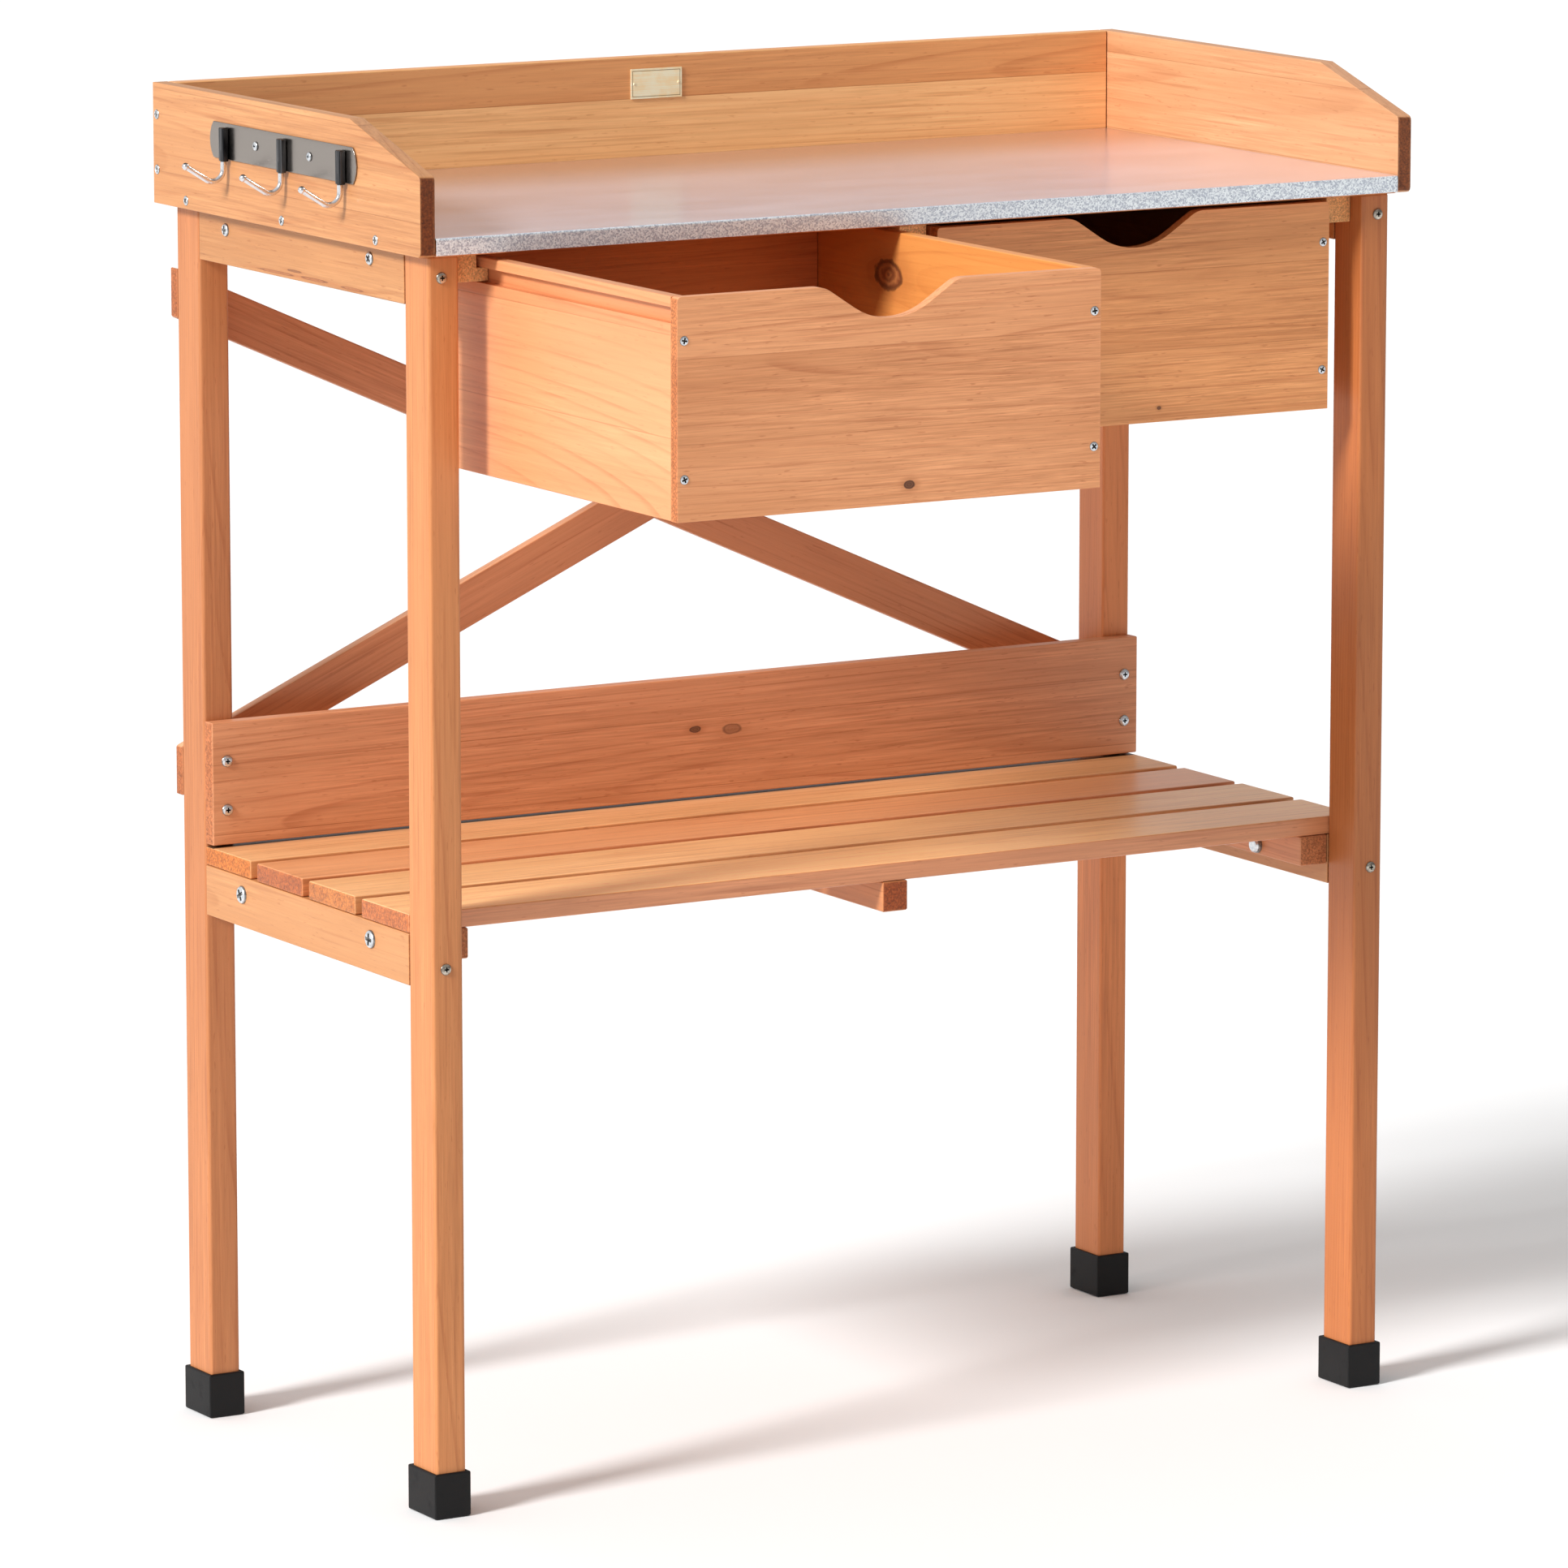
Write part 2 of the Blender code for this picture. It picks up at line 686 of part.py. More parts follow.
# ---------------------------------------------------------------- lower shelf
def add_shelf():
    for number in range(4):
        start = SLAT_FIRST + number * SLAT_SPACING
        add_box(
            f"shelf_slat_{number + 1}",
            (-HALF_WIDTH, start, SHELF_TOP - SLAT_THICK),
            (HALF_WIDTH, start + SLAT_WIDE, SHELF_TOP),
            FIR_SHELF,
            SLAT_EASE,
            2,
        )
    cleat_inner = LEG_INNER - GAP - CLEAT_WIDE
    rear_end = REAR_LEG_FRONT - GAP
    for word, low, high in (
        ("left", -LEG_INNER + GAP, -cleat_inner),
        ("right", cleat_inner, LEG_INNER - GAP),
        ("middle", -MID_CLEAT_WIDE / 2, MID_CLEAT_WIDE / 2),
    ):
        add_box(
            "shelf_cleat_" + word,
            (low, LEG_DEEP + GAP, CLEAT_FOOT),
            (high, rear_end, RAIL_TOP),
            FIR_BOARD,
        )


add_shelf()
shelf_board = add_box(
    "shelf_back_board",
    (-HALF_WIDTH, REAR_LEG_FRONT - GAP - SHELF_BOARD_THICK, SHELF_BOARD_FOOT),
    (HALF_WIDTH, REAR_LEG_FRONT - GAP, SHELF_BOARD_TOP),
    FIR_SHELF,
    EASE,
    2,
)


# ---------------------------------------------------------------- crossed back brace
def brace_outline(left_top, right_top, extra=0.0):
    """A sloping board with upright ends, grown by extra above and below."""
    reach = HALF_WIDTH
    tall = BRACE_TALL
    return [
        (-reach, left_top - tall - extra),
        (reach, right_top - tall - extra),
        (reach, right_top + extra),
        (-reach, left_top + extra),
    ]


def add_brace(name, own, other, cut_from):
    """A board of the cross, halved where the other one passes."""
    middle = DEPTH + GAP + BRACE_THICK / 2
    brace = add_plate(name, brace_outline(*own), BRACE_THICK, (0.0, middle, 0.0), FACE_Y, FIR_SHELF, EASE)
    depth = BRACE_THICK / 2 + DRILL_LEAD
    offset = cut_from * (depth / 2 - GAP / 2)
    notch = add_plate(
        name + "_halving",
        brace_outline(*other, GAP),
        depth,
        (0.0, middle + offset, 0.0),
        FACE_Y,
        None,
        0.0,
    )
    combine(brace, as_cutter(notch), "DIFFERENCE")


FALLING = (BRACE_HIGH, BRACE_LOW)
RISING = (BRACE_LOW, BRACE_HIGH)
add_brace("brace_falling", FALLING, RISING, 1)
add_brace("brace_rising", RISING, FALLING, -1)


# ---------------------------------------------------------------- coat hooks
def hook_rail_outline():
    """Long strip with bowed ends."""
    half = (HOOK_RAIL_TOP - HOOK_RAIL_FOOT) / 2
    middle = (HOOK_RAIL_TOP + HOOK_RAIL_FOOT) / 2
    radius = (half * half + HOOK_RAIL_BULGE * HOOK_RAIL_BULGE) / (2 * HOOK_RAIL_BULGE)
    sweep = math.degrees(math.asin(half / radius))
    back = radius - HOOK_RAIL_BULGE
    outline = arc((HOOK_RAIL_REAR - back, middle), radius, -sweep, sweep, 6)
    outline += arc((HOOK_RAIL_FRONT + back, middle), radius, 180.0 - sweep, 180.0 + sweep, 6)
    return outline


hook_rail = add_plate(
    "hook_rail",
    hook_rail_outline(),
    HOOK_RAIL_THICK,
    (-(SIDE_OUTER + GAP + HOOK_RAIL_THICK / 2), 0.0, 0.0),
    FACE_X,
    RAIL_STEEL,
    HOOK_RAIL_EASE,
)


def hook_path():
    """Centre line of the wire as (outward, up): down, round the bend and up to the tip."""
    centre = (HOOK_WIRE_X + HOOK_BEND, HOOK_BEND_Z)
    rise = math.degrees(HOOK_ARM_RISE)
    path = [(HOOK_WIRE_X, HOOK_TAB_FOOT + WIRE_LET_IN)]
    path += arc(centre, HOOK_BEND, 180.0, 270.0 + rise, 9)
    end = path[-1]
    path.append((end[0] + HOOK_ARM * math.cos(HOOK_ARM_RISE), end[1] + HOOK_ARM * math.sin(HOOK_ARM_RISE)))
    return path


def add_hook(place, y_middle):
    """A tab on the rail, a bent wire and a ball on its tip, made as one piece."""
    path = hook_path()
    hook = add_box(
        "hook_" + place,
        (-HOOK_FACE - GAP - HOOK_TAB_THICK, y_middle - HOOK_TAB_WIDE / 2, HOOK_TAB_FOOT),
        (-HOOK_FACE - GAP, y_middle + HOOK_TAB_WIDE / 2, HOOK_TAB_TOP),
        HOOK_CHROME,
        HOOK_TAB_EASE,
    )
    curve = bpy.data.curves.new("hook_wire_" + place, "CURVE")
    curve.dimensions = "3D"
    curve.bevel_depth = HOOK_WIRE
    curve.bevel_resolution = 2
    curve.use_fill_caps = True
    spline = curve.splines.new("POLY")
    spline.points.add(len(path) - 1)
    for point, (outward, up) in zip(spline.points, path):
        point.co = (-outward, y_middle, up, 1.0)
    drawn = bpy.data.objects.new("hook_wire_" + place, curve)
    helpers.objects.link(drawn)
    wire = mesh_of(drawn, "hook_wire_" + place)
    wire.parent = ROOT
    wire.data.shade_smooth()
    wire.data.set_sharp_from_angle(angle=SHARP)
    combine(hook, as_cutter(wire), "UNION")
    bpy.ops.mesh.primitive_uv_sphere_add(segments=10, ring_count=6, radius=HOOK_BALL)
    ball = adopt(bpy.context.object, "hook_ball_" + place, None, ROOT)
    ball.data.shade_smooth()
    ball.location = (-path[-1][0], y_middle, path[-1][1])
    combine(hook, as_cutter(ball), "UNION")


for place, y_middle in HOOK_Y.items():
    add_hook(place, y_middle)


# ---------------------------------------------------------------- screws
def fit_screw(tag, pieces, seat, axis, kind):
    """A screw, and the hole it takes in the pieces it joins."""
    drill(pieces, tag.replace("screw", "hole"), seat, axis, kind["length"] + SCREW_END_PLAY)
    add_screw(tag, seat, axis, kind["length"], kind["head_radius"])


def fit_screws():
    """Screws through the front legs, the shelf's back board and the hook rail."""
    board_front = REAR_LEG_FRONT - GAP - SHELF_BOARD_THICK
    for word, side in (("left", -1), ("right", 1)):
        rails = {"upper": aprons[word], "lower": shelf_rails[word]}
        for level, height in LEG_SCREW_Z.items():
            seat = (side * (HALF_WIDTH - LEG_SCREW_IN), 0.0, height)
            fit_screw(f"leg_screw_{word}_{level}", [legs["front_" + word], rails[level]], seat, "-Y", LEG_SCREW)
        for level, height in SHELF_SCREW_Z.items():
            seat = (side * SHELF_SCREW_X, board_front, height)
            fit_screw(f"shelf_screw_{word}_{level}", [shelf_board, legs["rear_" + word]], seat, "-Y", SHELF_SCREW)
    for place, y_middle in HOOK_SCREW_Y.items():
        seat = (-HOOK_FACE, y_middle, HOOK_SCREW_Z)
        fit_screw("hook_screw_" + place, [hook_rail, side_boards["left"]], seat, "-X", HOOK_SCREW)


fit_screws()

bpy.context.view_layer.update()
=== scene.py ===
import json
import math

import bmesh
import bpy
from mathutils import Matrix, Vector

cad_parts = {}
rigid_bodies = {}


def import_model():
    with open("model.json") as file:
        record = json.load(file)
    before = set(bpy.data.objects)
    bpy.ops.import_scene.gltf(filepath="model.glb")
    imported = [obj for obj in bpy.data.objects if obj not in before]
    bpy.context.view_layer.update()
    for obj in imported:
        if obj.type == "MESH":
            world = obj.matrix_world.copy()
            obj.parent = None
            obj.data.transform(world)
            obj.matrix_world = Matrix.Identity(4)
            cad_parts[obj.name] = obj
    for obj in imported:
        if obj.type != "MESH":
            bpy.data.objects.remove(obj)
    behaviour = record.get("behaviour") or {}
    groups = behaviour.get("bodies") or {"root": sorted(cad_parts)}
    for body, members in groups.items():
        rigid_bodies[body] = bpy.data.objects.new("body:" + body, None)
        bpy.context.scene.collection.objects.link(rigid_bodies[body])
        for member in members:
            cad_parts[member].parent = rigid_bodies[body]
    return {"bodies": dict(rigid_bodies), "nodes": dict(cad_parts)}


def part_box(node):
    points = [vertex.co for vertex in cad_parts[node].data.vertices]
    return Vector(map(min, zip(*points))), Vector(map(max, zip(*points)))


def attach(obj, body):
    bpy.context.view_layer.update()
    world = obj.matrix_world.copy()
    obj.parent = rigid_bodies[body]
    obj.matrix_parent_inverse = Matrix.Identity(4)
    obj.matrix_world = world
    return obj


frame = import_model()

# The looks of a potting bench, in metres. The boards, legs, hooks, caps and larger screws are CAD nodes,
# which get their materials here, and the small screw heads are added on the body that they belong to.

keep = set(frame["nodes"].values()) | set(frame["bodies"].values())
for stray in [item for item in bpy.data.objects if item not in keep]:
    bpy.data.objects.remove(stray, do_unlink=True)
bpy.context.view_layer.update()

AXES = {"X": Vector((1, 0, 0)), "Y": Vector((0, 1, 0)), "Z": Vector((0, 0, 1))}
SIDES = ((-1, "left"), (1, "right"))


def shade(red, green, blue):
    """A display colour from 0 to 255 as linear light."""
    linear = []
    for part in (red, green, blue):
        part = part / 255.0
        linear.append(part / 12.92 if part <= 0.04045 else ((part + 0.055) / 1.055) ** 2.4)
    return tuple(linear)


def scaled(colour, factors):
    """A colour with each channel multiplied by its own factor, and none above white."""
    return tuple(min(1.0, part * factor) for part, factor in zip(colour, factors))


# ---------------------------------------------------------------- shader building
class Graph:
    """Adds nodes to one shader tree and links them as they are made."""

    def __init__(self, tree):
        self.tree = tree

    def put(self, socket, value):
        if isinstance(value, bpy.types.NodeSocket):
            self.tree.links.new(value, socket)
        elif socket.type == "RGBA" and len(value) == 3:
            socket.default_value = (*value, 1.0)
        else:
            socket.default_value = value

    def add(self, kind, inputs=None, **settings):
        node = self.tree.nodes.new(kind)
        for key, value in settings.items():
            setattr(node, key, value)
        for key, value in (inputs or {}).items():
            self.put(node.inputs[key], value)
        return node

    def math(self, operation, *values):
        return self.add("ShaderNodeMath", dict(enumerate(values)), operation=operation).outputs[0]

    def chain(self, operation, values):
        """The values combined from left to right."""
        result = values[0]
        for value in values[1:]:
            result = self.math(operation, result, value)
        return result

    def plus(self, *values):
        return self.chain("ADD", values)

    def minus(self, *values):
        return self.chain("SUBTRACT", values)

    def times(self, *values):
        return self.chain("MULTIPLY", values)

    def vector(self, operation, *values):
        node = self.add("ShaderNodeVectorMath", operation=operation)
        for number, value in enumerate(values):
            socket = node.inputs["Scale"] if operation == "SCALE" and number == 1 else node.inputs[number]
            self.put(socket, value)
        return node.outputs["Value" if operation in ("DOT_PRODUCT", "LENGTH") else "Vector"]

    def split(self, vector):
        return self.add("ShaderNodeSeparateXYZ", {0: vector}).outputs[:3]

    def join(self, x, y, z):
        return self.add("ShaderNodeCombineXYZ", {0: x, 1: y, 2: z}).outputs[0]

    def mix(self, factor, first, second, mode="MIX"):
        node = self.add("ShaderNodeMix", data_type="RGBA", blend_type=mode)
        self.put(node.inputs[0], factor)
        self.put(node.inputs[6], first)
        self.put(node.inputs[7], second)
        return node.outputs[2]

    def brighten(self, colour, amount):
        """The colour times a number that may vary over the surface."""
        return self.vector("SCALE", colour, amount)

    def ramp(self, value, start, end, low=0.0, high=1.0):
        """Rises smoothly from low, where the value is start, to high, where it is end."""
        node = self.add("ShaderNodeMapRange", interpolation_type="SMOOTHSTEP")
        for number, item in enumerate((value, start, end, low, high)):
            self.put(node.inputs[number], item)
        return node.outputs[0]

    def noise_node(self, where, rate, detail, roughness):
        spread = self.vector("MULTIPLY", where, rate)
        inputs = {"Vector": spread, "Scale": 1.0, "Detail": detail, "Roughness": roughness}
        return self.add("ShaderNodeTexNoise", inputs)

    def noise(self, where, rate, detail=2.0, roughness=0.5):
        """Noise from 0 to 1. The rate is how often it changes in a metre along each axis."""
        return self.noise_node(where, rate, detail, roughness).outputs["Fac"]

    def noise_vector(self, where, rate):
        """Three noises at once, each from -0.5 to 0.5."""
        colour = self.noise_node(where, rate, 1.0, 0.5).outputs["Color"]
        return self.vector("SUBTRACT", colour, (0.5, 0.5, 0.5))

    def random(self, value, salt):
        node = self.add("ShaderNodeTexWhiteNoise", noise_dimensions="2D")
        self.put(node.inputs["Vector"], self.join(value, salt, 0.0))
        return node.outputs["Value"]

    def depth_inside(self, where, low, high):
        """How far a point lies from the nearer side of a box, along each axis."""
        above = self.vector("SUBTRACT", where, tuple(low))
        below = self.vector("SUBTRACT", tuple(high), where)
        return self.split(self.vector("MINIMUM", above, below))

    def normal(self):
        return self.add("ShaderNodeNewGeometry").outputs["Normal"]

    def bump(self, shader, height, strength, distance):
        node = self.add("ShaderNodeBump", {"Height": height, "Strength": strength, "Distance": distance})
        self.put(shader.inputs["Normal"], node.outputs["Normal"])


def even(rate):
    """A noise rate that is the same along all three axes."""
    return (rate, rate, rate)


def grained(along, across):
    """A noise rate in a board's own axes: slow along the grain, fast across it and into it."""
    return (along, across, across)


def new_material(name):
    material = bpy.data.materials.new(name)
    material.use_nodes = True
    graph = Graph(material.node_tree)
    shader = material.node_tree.nodes["Principled BSDF"]
    where = graph.add("ShaderNodeTexCoord").outputs["Object"]
    return material, graph, shader, where


def dress(node, material):
    """Gives a CAD node its material."""
    for slot in frame["nodes"][node].material_slots:
        slot.material = material


# ---------------------------------------------------------------- wood
GRAIN_INPUTS = (
    ("Place", "Vector"),
    ("Salt", "Float"),
    ("Strip", "Float"),
    ("Strip shift", "Float"),
    ("Strip change", "Float"),
    ("Lean", "Float"),
    ("Ring", "Float"),
    ("Pith", "Vector"),
    ("Tilt", "Float"),
    ("Pale", "Color"),
    ("Mid", "Color"),
    ("Dark", "Color"),
    ("Rings", "Float"),
    ("Fibre", "Float"),
    ("Fine", "Float"),
    ("Cloud", "Float"),
)
GRAIN_OUTPUTS = (("Colour", "Color"), ("Height", "Float"), ("Satin", "Float"))

SEAM_WIDTH = 0.0006
RING_SWAY = 0.020
SALT_SHIFT = (7.1, 3.7, 5.3)
DARK_LINE_SHIFT = (3.3, 1.1, 2.7)

LARGE_KNOT = 0.012
RAGGED_WEAR = 0.0030
WORN_FROM, WORN_WHOLLY = 0.0036, 0.0012
COVER_BLUR = 0.0006
WOOD_RELIEF = 0.00022


def glued_strips(g, given):
    """The strip's number, its own tone from -0.5 to 0.5, and where the glue seams lie."""
    across = g.split(given["Place"])[1]
    strips = g.math("DIVIDE", g.plus(across, given["Strip shift"]), given["Strip"])
    number = g.math("FLOOR", strips)
    tone = g.minus(g.random(number, given["Salt"]), 0.5)
    from_middle = g.math("ABSOLUTE", g.minus(strips, number, 0.5))
    seam_at = g.minus(0.5, g.math("DIVIDE", SEAM_WIDTH, given["Strip"]))
    return number, tone, g.ramp(from_middle, seam_at, 0.5)


def growth_rings(g, given, wood, strip_tone):
    """The late wood of each year's ring, round a pith that lies outside the board."""
    along, across, into = g.split(given["Place"])
    sway = g.vector("MULTIPLY", g.noise_vector(wood, grained(1.1, 5.0)), (0.0, RING_SWAY, RING_SWAY))
    drift = g.join(0.0, 0.0, g.times(along, given["Tilt"]))
    section = g.vector("ADD", g.join(0.0, across, into), sway)
    reach = g.vector("ADD", g.vector("SUBTRACT", section, given["Pith"]), drift)
    wobble = g.times(g.noise(wood, grained(3.5, 26.0)), 0.55)
    years = g.math("DIVIDE", g.vector("LENGTH", reach), given["Ring"])
    age = g.plus(years, wobble, g.times(strip_tone, 9.3))
    year = g.math("FLOOR", age)
    season = g.minus(age, year)
    late = g.times(g.ramp(season, 0.66, 0.94), g.ramp(season, 1.0, 0.95))
    broken = g.ramp(g.noise(wood, grained(9.0, 60.0), detail=1.0), 0.30, 0.62, 0.25, 1.0)
    strength = g.times(g.ramp(g.random(year, given["Salt"]), 0.0, 1.0, 0.15, 1.0), broken)
    return g.times(late, strength, given["Rings"])


def build_grain_group():
    """Board colour and relief. Place holds metres along the grain, across the face, and into it."""
    tree = bpy.data.node_groups.new("wood_grain", "ShaderNodeTree")
    for labels, way in ((GRAIN_INPUTS, "INPUT"), (GRAIN_OUTPUTS, "OUTPUT")):
        for label, kind in labels:
            tree.interface.new_socket(label, in_out=way, socket_type="NodeSocket" + kind)
    g = Graph(tree)
    given = g.add("NodeGroupInput").outputs
    number, strip_tone, seam = glued_strips(g, given)
    shift = g.vector("SCALE", SALT_SHIFT, g.plus(strip_tone, g.times(given["Salt"], 1.7)))
    wood = g.vector("ADD", given["Place"], shift)
    late = growth_rings(g, given, wood, strip_tone)

    # broad clouds of tone, streaks and fibres along the grain, pale and dark hairlines, specks
    cloud = g.noise(wood, grained(2.2, 17.0), detail=3.0, roughness=0.55)
    band = g.noise(wood, grained(0.8, 85.0), detail=3.0, roughness=0.6)
    fibre = g.noise(wood, grained(7.0, 300.0), detail=4.0, roughness=0.72)
    hair = g.noise(wood, grained(18.0, 720.0), detail=3.0, roughness=0.75)
    pale_line = g.ramp(g.noise(wood, grained(7.0, 420.0), detail=0.0), 0.62, 0.78)
    elsewhere = g.vector("ADD", wood, DARK_LINE_SHIFT)
    dark_line = g.ramp(g.noise(elsewhere, grained(9.0, 380.0), detail=0.0), 0.65, 0.80)
    speck = g.ramp(g.noise(wood, grained(95.0, 620.0), detail=1.0), 0.66, 0.78)

    tone = g.plus(g.times(cloud, 0.55), g.times(band, 0.45))
    colour = g.mix(g.ramp(tone, 0.28, 0.72), given["Mid"], given["Pale"])
    colour = g.mix(late, colour, given["Dark"])
    colour = g.mix(g.times(pale_line, g.times(given["Fibre"], 0.60)), colour, given["Pale"])
    darks = g.math("MAXIMUM", g.times(dark_line, 0.40), g.times(speck, 0.55))
    colour = g.mix(g.times(darks, given["Fibre"]), colour, given["Dark"])

    # how light or dark each point is: the darker it is, the redder
    coarse_part = g.times(fibre, g.minus(1.0, given["Fine"]))
    streak = g.times(g.plus(coarse_part, g.times(hair, given["Fine"])), 1.4)
    lively = g.ramp(g.noise(wood, grained(4.0, 16.0)), 0.36, 0.64, 0.45, 1.20)
    swing = g.times(g.minus(streak, 0.70), given["Fibre"], lively)
    clouding = g.times(g.minus(cloud, 0.5), given["Cloud"])
    level = g.plus(1.0, swing, clouding, g.times(strip_tone, given["Strip change"]))
    level = g.times(level, g.minus(1.0, g.times(seam, 0.22)))
    warmth = g.join(level, g.math("POWER", level, 1.25), g.math("POWER", level, 1.55))
    colour = g.vector("MULTIPLY", colour, warmth)

    # strips above the first are darker and redder by the lean, where that is below zero
    leaned = g.plus(1.0, g.times(g.math("MAXIMUM", number, 0.0), given["Lean"]))
    leaning = g.join(leaned, g.math("POWER", leaned, 1.9), g.math("POWER", leaned, 2.6))
    colour = g.vector("MULTIPLY", colour, leaning)

    out = g.add("NodeGroupOutput")
    g.put(out.inputs["Colour"], colour)
    g.put(out.inputs["Height"], g.minus(g.times(streak, 0.8), g.times(late, 0.4), g.times(seam, 0.8)))
    g.put(out.inputs["Satin"], g.plus(0.36, g.times(g.plus(streak, late), 0.16)))
    return tree


GRAIN = build_grain_group()


def add_knot(g, place, colour, knot):
    """Darkens the wood round one knot: (along, across, half length, half width, depth of colour)."""
    along, across, half_long, half_wide, depth = knot
    u, v, _ = g.split(place)
    du = g.math("DIVIDE", g.minus(u, along), half_long)
    dv = g.math("DIVIDE", g.minus(v, across), half_wide)
    rough = g.times(g.noise(place, even(160.0)), 0.45)
    away = g.plus(g.vector("LENGTH", g.join(du, dv, 0.0)), g.minus(rough, 0.22))
    halo = g.times(g.ramp(away, 2.6, 0.9), 0.40 * depth)
    colour = g.mix(halo, colour, shade(168, 96, 48))
    inner, outer = shade(84, 46, 26), shade(140, 84, 46)
    if half_long > LARGE_KNOT:
        inner, outer = shade(128, 70, 38), shade(196, 124, 70)
    ring = g.math("PINGPONG", g.times(away, 2.6), 0.5)
    heart = g.mix(g.times(ring, 1.3), inner, outer)
    colour = g.mix(g.times(g.ramp(away, 1.0, 0.86), depth), colour, heart)
    rim = g.times(g.ramp(away, 0.72, 0.86), g.ramp(away, 1.12, 0.95))
    return g.mix(g.times(rim, 0.75 * depth), colour, shade(88, 46, 24))


def add_wear(g, where, box, colour, mid, amount):
    """Pales the stain along the board's edges, in a ragged line."""
    dx, dy, dz = g.depth_inside(where, *box)
    nearest = g.math("MINIMUM", dx, dy)
    second = g.math("MAXIMUM", nearest, g.math("MINIMUM", g.math("MAXIMUM", dx, dy), dz))
    ragged = g.times(g.noise(where, even(90.0), detail=3.0), RAGGED_WEAR)
    wear = g.times(g.ramp(g.plus(second, ragged), WORN_FROM, WORN_WHOLLY), amount)
    return g.mix(wear, colour, scaled(mid, (1.22, 1.30, 1.42)))


def add_top_light_and_shade(g, where, facing, colour, tint, covered):
    """Paints light on the upper face by tinting it, and paints shade on it from the depth where another
    board covers it.
    """
    upward = g.ramp(g.split(facing)[2], 0.60, 0.95)
    colour = g.mix(upward, colour, g.vector("MULTIPLY", colour, tint))
    if covered is None:
        return colour
    # painted shade on the upper face, where the other board covers it
    under_board_shade = g.ramp(g.split(where)[1], covered - COVER_BLUR, covered + COVER_BLUR)
    return g.mix(g.times(under_board_shade, upward, 0.9), colour, shade(52, 28, 16))


def wood(node, grain, face, mid, salt, strip=1.0, strip_shift=0.5, strip_change=0.0, lean=0.0,
         ring=0.0042, pith=(0.0, 0.09), tilt=0.02, rings=0.5, fibre=0.72, fine=0.45, cloud=0.30,
         end=0.60, knots=(), worn=0.25, top=None, covered=None, sheen=0.10):
    """Gives one CAD board its own piece of stained softwood.

    grain and face are axis letters or unit vectors: along the grain, and across the broad face.
    mid is the board's middle tone, and salt a number that no other board has.
    strip, strip_shift, strip_change and lean are the width of the glued strips, where they start, how
    much their tones differ, and how much brighter each one is than the one below.
    ring, pith and tilt place the growth rings. rings, fibre, fine and cloud are the strengths of the
    figure. end is the tint of the sawn ends, and worn the wear of the edges. top multiplies the colour
    of the upper face as painted light from above, and from the depth (Y) covered that face gets
    painted shade, where it lies under another board.
    """
    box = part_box(node)
    centre = (box[0] + box[1]) / 2
    u_axis = AXES[grain] if isinstance(grain, str) else grain
    v_axis = AXES[face] if isinstance(face, str) else face
    material, g, shader, where = new_material("wood_" + node)
    facing = g.normal()
    local = g.vector("SUBTRACT", where, tuple(centre))
    board_axes = (u_axis, v_axis, u_axis.cross(v_axis))
    place = g.join(*(g.vector("DOT_PRODUCT", local, tuple(axis)) for axis in board_axes))
    values = {
        "Place": place, "Salt": float(salt), "Strip": strip, "Strip shift": strip_shift,
        "Strip change": strip_change, "Lean": lean, "Ring": ring, "Pith": (0.0, *pith), "Tilt": tilt,
        "Pale": scaled(mid, (1.08, 1.15, 1.24)), "Mid": mid, "Dark": scaled(mid, (0.66, 0.48, 0.38)),
        "Rings": rings, "Fibre": fibre, "Fine": fine, "Cloud": cloud,
    }
    figure = g.add("ShaderNodeGroup", node_tree=GRAIN)
    for label, value in values.items():
        g.put(figure.inputs[label], value)
    colour = figure.outputs["Colour"]
    for knot in knots:
        colour = add_knot(g, place, colour, knot)

    # sawn ends drink more stain, and show their pores
    end_on = g.math("ABSOLUTE", g.vector("DOT_PRODUCT", facing, tuple(u_axis)))
    end_mask = g.ramp(end_on, 0.60, 0.90)
    pores = g.noise(where, even(620.0), detail=4.0, roughness=0.7)
    end_tint = end if isinstance(end, tuple) else (end, end ** 1.55, end ** 2.2)
    ended = g.mix(1.0, colour, end_tint, "MULTIPLY")
    ended = g.brighten(ended, g.ramp(pores, 0.30, 0.70, 0.55, 1.45))
    colour = g.mix(end_mask, colour, ended)

    colour = add_wear(g, where, box, colour, mid, worn)
    # painted light on the upper face, and painted shade where another board covers it
    if top:
        colour = add_top_light_and_shade(g, where, facing, colour, top, covered)
    g.put(shader.inputs["Base Color"], colour)
    g.put(shader.inputs["Roughness"], g.plus(figure.outputs["Satin"], g.times(end_mask, 0.25)))
    shader.inputs["Specular IOR Level"].default_value = 0.42
    shader.inputs["Coat Weight"].default_value = sheen
    shader.inputs["Coat Roughness"].default_value = 0.28
    relief = g.minus(figure.outputs["Height"], g.times(pores, end_mask, 1.4))
    g.bump(shader, relief, 0.42, WOOD_RELIEF)
    dress(node, material)


# ---------------------------------------------------------------- soft corners on the CAD nodes
CREASE = math.radians(50.0)
MERGE = 0.00001


